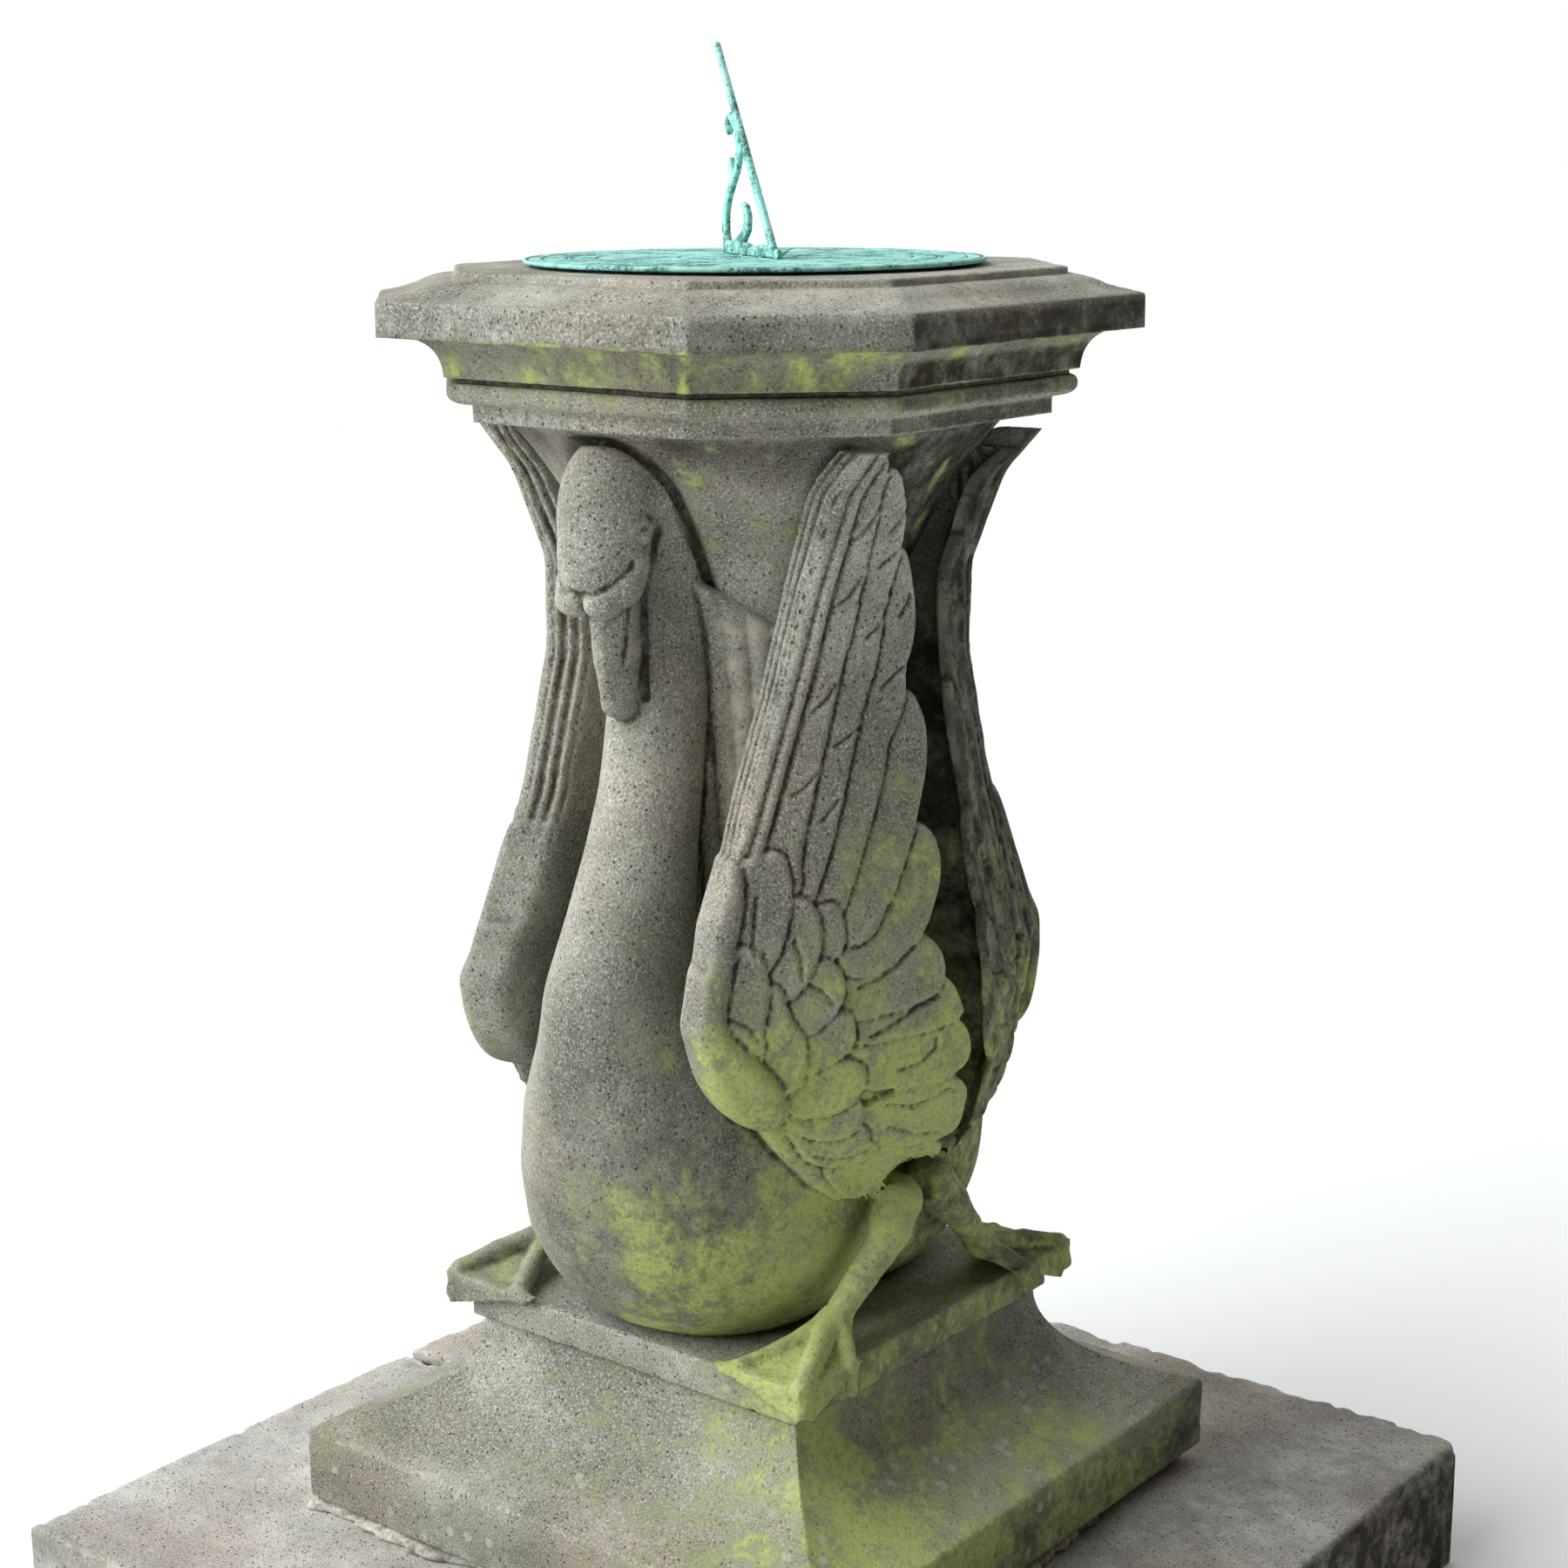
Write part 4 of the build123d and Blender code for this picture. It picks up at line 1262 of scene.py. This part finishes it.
swan_points, swan_faces = swan_form()
add_swan("swan_front", "front_swan", swan_points, swan_faces, False, 200)
add_swan("swan_rear", "rear_swan", swan_points, swan_faces, True, 300)


# ---------------------------------------------------------------- dial plate and gnomon

PLATE_BOTTOM, PLATE_TOP = (corner[2] for corner in box_mm("dial_plate"))
PLATE_RADIUS = box_mm("dial_plate")[1][0]
GNOMON_TURN = math.radians(150)
SETBACK = 42
LATITUDE = math.radians(52)
FIRST_HOUR, LAST_HOUR = 4, 20
ROMAN = "I II III IIII V VI VII VIII IX X XI XII".split()
NUMERAL_RADIUS = 112
LETTER_HEIGHT = 11
LETTERS = {
    "I": (2.6, [((0, -1), (0, 1))]),
    "V": (6.4, [((-0.9, 1), (0, -1)), ((0, -1), (0.9, 1))]),
    "X": (6.4, [((-0.9, -1), (0.9, 1)), ((-0.9, 1), (0.9, -1))]),
}
CIRCLES = (149, 139, 123, 119.5, 103.5, 50, 11)


def turned(point, angle, origin=(0, 0)):
    """A point turned about the origin of its own frame, then moved."""
    c, s = math.cos(angle), math.sin(angle)
    return (origin[0] + point[0] * c - point[1] * s, origin[1] + point[0] * s + point[1] * c)


# The hour lines fan out from the foot of the gnomon's sloping edge
DIAL_ROOT = turned((-SETBACK, 0), GNOMON_TURN)


def ring_crossing(angle, radius):
    """Where the hour line at an angle from the noon line meets a circle of the dial, as its polar angle."""
    step = turned((1, 0), GNOMON_TURN + angle)
    b = DIAL_ROOT[0] * step[0] + DIAL_ROOT[1] * step[1]
    reach = -b + math.sqrt(b * b + radius * radius - SETBACK * SETBACK)
    return math.atan2(DIAL_ROOT[1] + reach * step[1], DIAL_ROOT[0] + reach * step[0])


def hour_angle(hour):
    """Angle of an hour line from the noon line."""
    turn = math.radians((hour - 12) * 15)
    return math.atan2(math.sin(LATITUDE) * math.sin(turn), math.cos(turn))


def numeral_strokes(text, at):
    """Strokes of a Roman numeral centred on the polar angle at, with its foot towards the middle."""
    middle = turned((NUMERAL_RADIUS, 0), at)
    place = -sum(LETTERS[letter][0] for letter in text) / 2
    strokes = []
    for letter in text:
        width, lines = LETTERS[letter]
        for line in lines:
            ends = [(place + width / 2 + x * width * 0.4, y * LETTER_HEIGHT / 2) for x, y in line]
            strokes.append([turned(end, at + math.pi / 2, middle) for end in ends])
        place += width
    return strokes


def dial_strokes():
    """Every engraved straight stroke of the dial, as pairs of points."""
    strokes = []
    for quarter in range(FIRST_HOUR * 4, LAST_HOUR * 4 + 1):
        angle = hour_angle(quarter / 4)
        outer = 131 if quarter % 4 else 137
        inner = 126 if quarter % 2 else 124
        at = ring_crossing(angle, 128)
        strokes.append([turned((reach, 0), at) for reach in (inner, outer)])
        if quarter % 4 == 0:
            start = turned((30, 0), GNOMON_TURN + angle, DIAL_ROOT)
            strokes.append([start, turned((102, 0), ring_crossing(angle, 102))])
            text = ROMAN[(quarter // 4 - 1) % 12]
            strokes += numeral_strokes(text, ring_crossing(angle, NUMERAL_RADIUS))
    for i in range(16):
        around = i * math.pi / 8 + GNOMON_TURN
        tip = turned((26 if i % 2 else 46, 0), around)
        strokes += [[tip, turned((12, 0), around + side * math.pi / 8)] for side in (-1, 1)]
    return strokes


def dial_plate():
    """Round plate with engraved circles, hour lines, numbers and a compass star."""
    count = 880
    spacing = 1.15
    radii = np.linspace(PLATE_RADIUS - 1.6, 0.6, int(PLATE_RADIUS / spacing))
    profile = [(radius, PLATE_BOTTOM) for radius in (0.6, 60, 120, PLATE_RADIUS - 1.2)]
    profile += [(PLATE_RADIUS - 0.2, PLATE_BOTTOM + 0.7), (PLATE_RADIUS, PLATE_BOTTOM + 1.5)]
    profile += [(PLATE_RADIUS - 0.2, PLATE_TOP - 0.7), (PLATE_RADIUS - 0.8, PLATE_TOP - 0.15)]
    profile += [(radius, PLATE_TOP) for radius in radii]
    around = np.linspace(0, 2 * math.pi, count, endpoint=False)
    rings = [np.stack([r * np.cos(around), r * np.sin(around), np.full(count, z)], 1) for r, z in profile]
    piece = stack_mesh("dial", rings)
    points, _ = object_arrays(piece)
    x, y, z = points.T
    radius = np.hypot(x, y)
    near = np.full(len(points), 9.0)
    for circle in CIRCLES:
        near = np.minimum(near, abs(radius - circle) + 0.15)
    for a, b in dial_strokes():
        near = np.minimum(near, line_distance(x, y, a, b))
    cut = ramp(near, 1.15, 0.35) * ramp(z, PLATE_TOP - 0.3, PLATE_TOP - 0.1)
    pitted = 0.3 * cloud(points, 14, 400) + 0.25 * ramp(value_noise(points, 3, 401), 0.3, 0.9)
    edge = ramp(radius, PLATE_RADIUS - 3, PLATE_RADIUS)
    points[:, 2] -= (0.75 * cut + pitted) * ramp(z, PLATE_TOP - 1, PLATE_TOP)
    worn = edge * 0.7 * cloud(points, 9, 402)
    points[:, :2] -= points[:, :2] / np.maximum(radius, 1)[:, None] * worn[:, None]
    move_points(piece, points, "dial_plate")
    paint(piece, grime=1.2 * cut + 0.55 * cloud(points, 30, 403))
    dress(piece, VERDIGRIS, "bronze", "dial_plate")


def style_outline(a, b):
    """Distance to the straight style, by distance along the dial and height."""
    along = a * math.cos(LATITUDE) + b * math.sin(LATITUDE)
    above = -a * math.sin(LATITUDE) + b * math.cos(LATITUDE)
    tip_radius = 2.4
    reach = (140 - tip_radius) / math.sin(LATITUDE)
    width = 8 - 3.4 * np.clip(along / reach, 0, 1)
    body = np.maximum(np.maximum(above, -above - width), along - reach)
    tip = np.hypot(along - reach, above + tip_radius) - tip_radius
    foot = np.maximum(np.maximum(a - 4, -a - 8), np.maximum(b - 6, -b))
    return smooth_min(np.maximum(np.minimum(body, tip), -b), foot, 2)


def chain(a, b, points):
    """Distance to a strip through (a, b, half width) points."""
    nearest = 1e9
    for p, q in zip(points, points[1:]):
        dx, dy = q[0] - p[0], q[1] - p[1]
        t = np.clip(((a - p[0]) * dx + (b - p[1]) * dy) / (dx * dx + dy * dy), 0, 1)
        gap = np.hypot(a - p[0] - t * dx, b - p[1] - t * dy) - (p[2] + t * (q[2] - p[2]))
        nearest = np.minimum(nearest, gap)
    return nearest


# The scroll's strips, as (distance along the dial, height, half width) points
STEM = [(92, 5, 4.2), (95.5, 16, 4), (94.5, 27, 3.6), (89, 38, 3.2), (81, 47, 3), (74, 54, 2.8)]
STEM += [(70, 61, 3), (68.5, 68, 3.2), (70, 75, 3.2), (74, 82, 3), (79, 87.5, 2.8)]
CURL = [(79, 87.5, 2.8), (84, 90, 2.6), (88.5, 88, 2.5), (90, 83.5, 2.4), (87.5, 80.5, 3.2)]
LEAF = [(82, 6, 3), (72, 8.5, 3.4), (62, 12, 4.2), (55.5, 18, 4.6), (54, 25, 4), (57, 31, 2.8), (61, 33, 2)]
FROND = [(78, 51, 2.6), (83, 56, 3), (84, 62, 1.8)]
BUD = [(70, 64, 2.8), (64, 68, 3), (61.5, 73, 1.6)]


def scroll_outline(a, b):
    """Distance to the foot rail, the S-shaped scroll, its curled end and the leaf at its foot."""
    rail = np.maximum(np.maximum(b - 7.5 - 1.2 * np.cos(a / 4.5), -b), np.maximum(8 - a, a - 98))
    shape = smooth_min(rail, chain(a, b, STEM), 3)
    for strip in (CURL, LEAF, FROND, BUD):
        shape = smooth_min(shape, chain(a, b, strip), 2)
    return np.maximum(shape, -b)


def gnomon_piece(name, node, outline, seed):
    """A cast plate with rounded edges, standing on the dial."""
    fine = 0.62
    half_width, margin = 2.5, 3 * fine
    a = np.arange(-12, 116, fine)[:, None, None]
    b = np.arange(-margin, 145, fine)[None, :, None]
    w = np.arange(-half_width - margin, half_width + margin, fine)[None, None, :]
    flat = outline(a, b) + 0.2
    swell = 2.45 - 0.5 * ramp(-flat, 2.4, 0)
    field = smooth_max(flat + 0 * w, abs(w) - swell, 1.1).astype(np.float32)
    points, faces = surface_nets(field, np.array([-12, -margin, w.min()]), fine)
    out = points[:, 0] - SETBACK
    x = out * math.cos(GNOMON_TURN) - points[:, 2] * math.sin(GNOMON_TURN)
    y = out * math.sin(GNOMON_TURN) + points[:, 2] * math.cos(GNOMON_TURN)
    # Swapping the width and height axes turns the faces inside out, so they are reversed
    piece = mesh_object(name, np.stack([x, y, points[:, 1] + PLATE_TOP], 1), faces[:, ::-1])
    points, normals = object_arrays(piece)
    depth = 0.25 * cloud(points, 6, seed) + 0.3 * ramp(value_noise(points, 2.4, seed + 4), 0.4, 0.9)
    move_points(piece, points - normals * depth[:, None], node)
    paint(piece, grime=0.7 * cloud(points * (1, 1, 0.45), 9, seed + 1) - 0.02)
    dress(piece, VERDIGRIS, "bronze", node)


dial_plate()
gnomon_piece("style", "gnomon_style", style_outline, 410)
gnomon_piece("scroll", "gnomon_scroll", scroll_outline, 420)


# ---------------------------------------------------------------- hidden pieces keep their CAD shape


def finish_hidden(material, *names):
    """Give CAD pieces their material, and leave their shape alone."""
    for name in names:
        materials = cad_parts[name].data.materials
        materials.clear()
        materials.append(material)


finish_hidden(JOINT_MORTAR, "base_joint_mortar", "cap_joint_mortar", "step_joint_mortar", "dial_bed")
finish_hidden(VERDIGRIS, "gnomon_screws", "dial_pegs")
steel = plain_metal("dowel_steel_finish", (116, 118, 120), 0.42)
finish_hidden(steel, "base_dowel", "cap_dowel", "swan_pins")
finish_hidden(plain_metal("lead_finish", (88, 90, 94), 0.6), "dial_plugs")

# ---------------------------------------------------------------- floor, light and camera

scene = bpy.context.scene


def pale_floor(reach):
    """A plain pale floor, a square of twice the reach in metres."""
    mesh = bpy.data.meshes.new("floor")
    corners = [(-reach, -reach, 0), (reach, -reach, 0), (reach, reach, 0), (-reach, reach, 0)]
    mesh.from_pydata(corners, [], [(0, 1, 2, 3)])
    floor = bpy.data.objects.new("floor", mesh)
    scene.collection.objects.link(floor)
    s = Shader("pale_floor")
    colour = s.mix(s.noise(0.6), srgb(251, 251, 251), srgb(252, 252, 252))
    s.finish(colour, s.ramp(s.noise(0.3), 0.3, 0.7, 0.6, 0.8), s.bump(s.noise(0.02), 0.0004))
    mesh.materials.append(s.material)


def studio(sky, backdrop):
    """A faint warm light from all around, behind which the camera sees plain white."""
    world = bpy.data.worlds.new("studio")
    world.use_nodes = True
    nodes, links = world.node_tree.nodes, world.node_tree.links
    choice = nodes.new("ShaderNodeMixShader")
    links.new(nodes.new("ShaderNodeLightPath").outputs["Is Camera Ray"], choice.inputs[0])
    warm = (nodes["Background"], (1, 0.84, 0.68, 1), sky)
    white = (nodes.new("ShaderNodeBackground"), (1, 1, 1, 1), backdrop)
    for place, (shade, colour, strength) in enumerate((warm, white), 1):
        shade.inputs["Color"].default_value = colour
        shade.inputs["Strength"].default_value = strength
        links.new(shade.outputs[0], choice.inputs[place])
    links.new(choice.outputs[0], nodes["World Output"].inputs["Surface"])
    scene.world = world
    scene.view_settings.view_transform = "Standard"


def soft_sun(name, direction, energy, colour):
    """Soft light shining along a direction, the same everywhere."""
    data = bpy.data.lights.new(name, "SUN")
    data.energy = energy
    data.angle = math.radians(60)
    data.color = colour
    lamp = bpy.data.objects.new(name, data)
    lamp.rotation_euler = Vector(direction).to_track_quat("-Z", "Y").to_euler()
    scene.collection.objects.link(lamp)


def add_camera(place, turn, down, roll, lens):
    """The camera at a place, turned about Z, looking down and rolled by degrees."""
    data = bpy.data.cameras.new("camera")
    data.lens = lens
    data.sensor_width = 36
    camera = bpy.data.objects.new("camera", data)
    pose = Matrix.Translation(place)
    for degrees, axis in ((turn, "Z"), (90 - down, "X"), (roll, "Z")):
        pose = pose @ Matrix.Rotation(math.radians(degrees), 4, axis)
    camera.matrix_world = pose
    scene.collection.objects.link(camera)
    scene.camera = camera


pale_floor(60)
studio(sky=0.05, backdrop=1.0)
soft_sun("key", (0.66, 0.95, -0.85), 4.15, (0.94, 0.98, 1.0))
soft_sun("rear_fill", (0.1, -1.0, -0.8), 1.0, (1.0, 1.0, 1.0))
soft_sun("left_fill", (0.95, -0.1, -0.4), 0.8, (0.97, 1.0, 1.0))
add_camera((1.17259, -1.45115, 0.94964 + GROUND * MM), turn=38.41, down=13.17, roll=-0.30, lens=64.16)
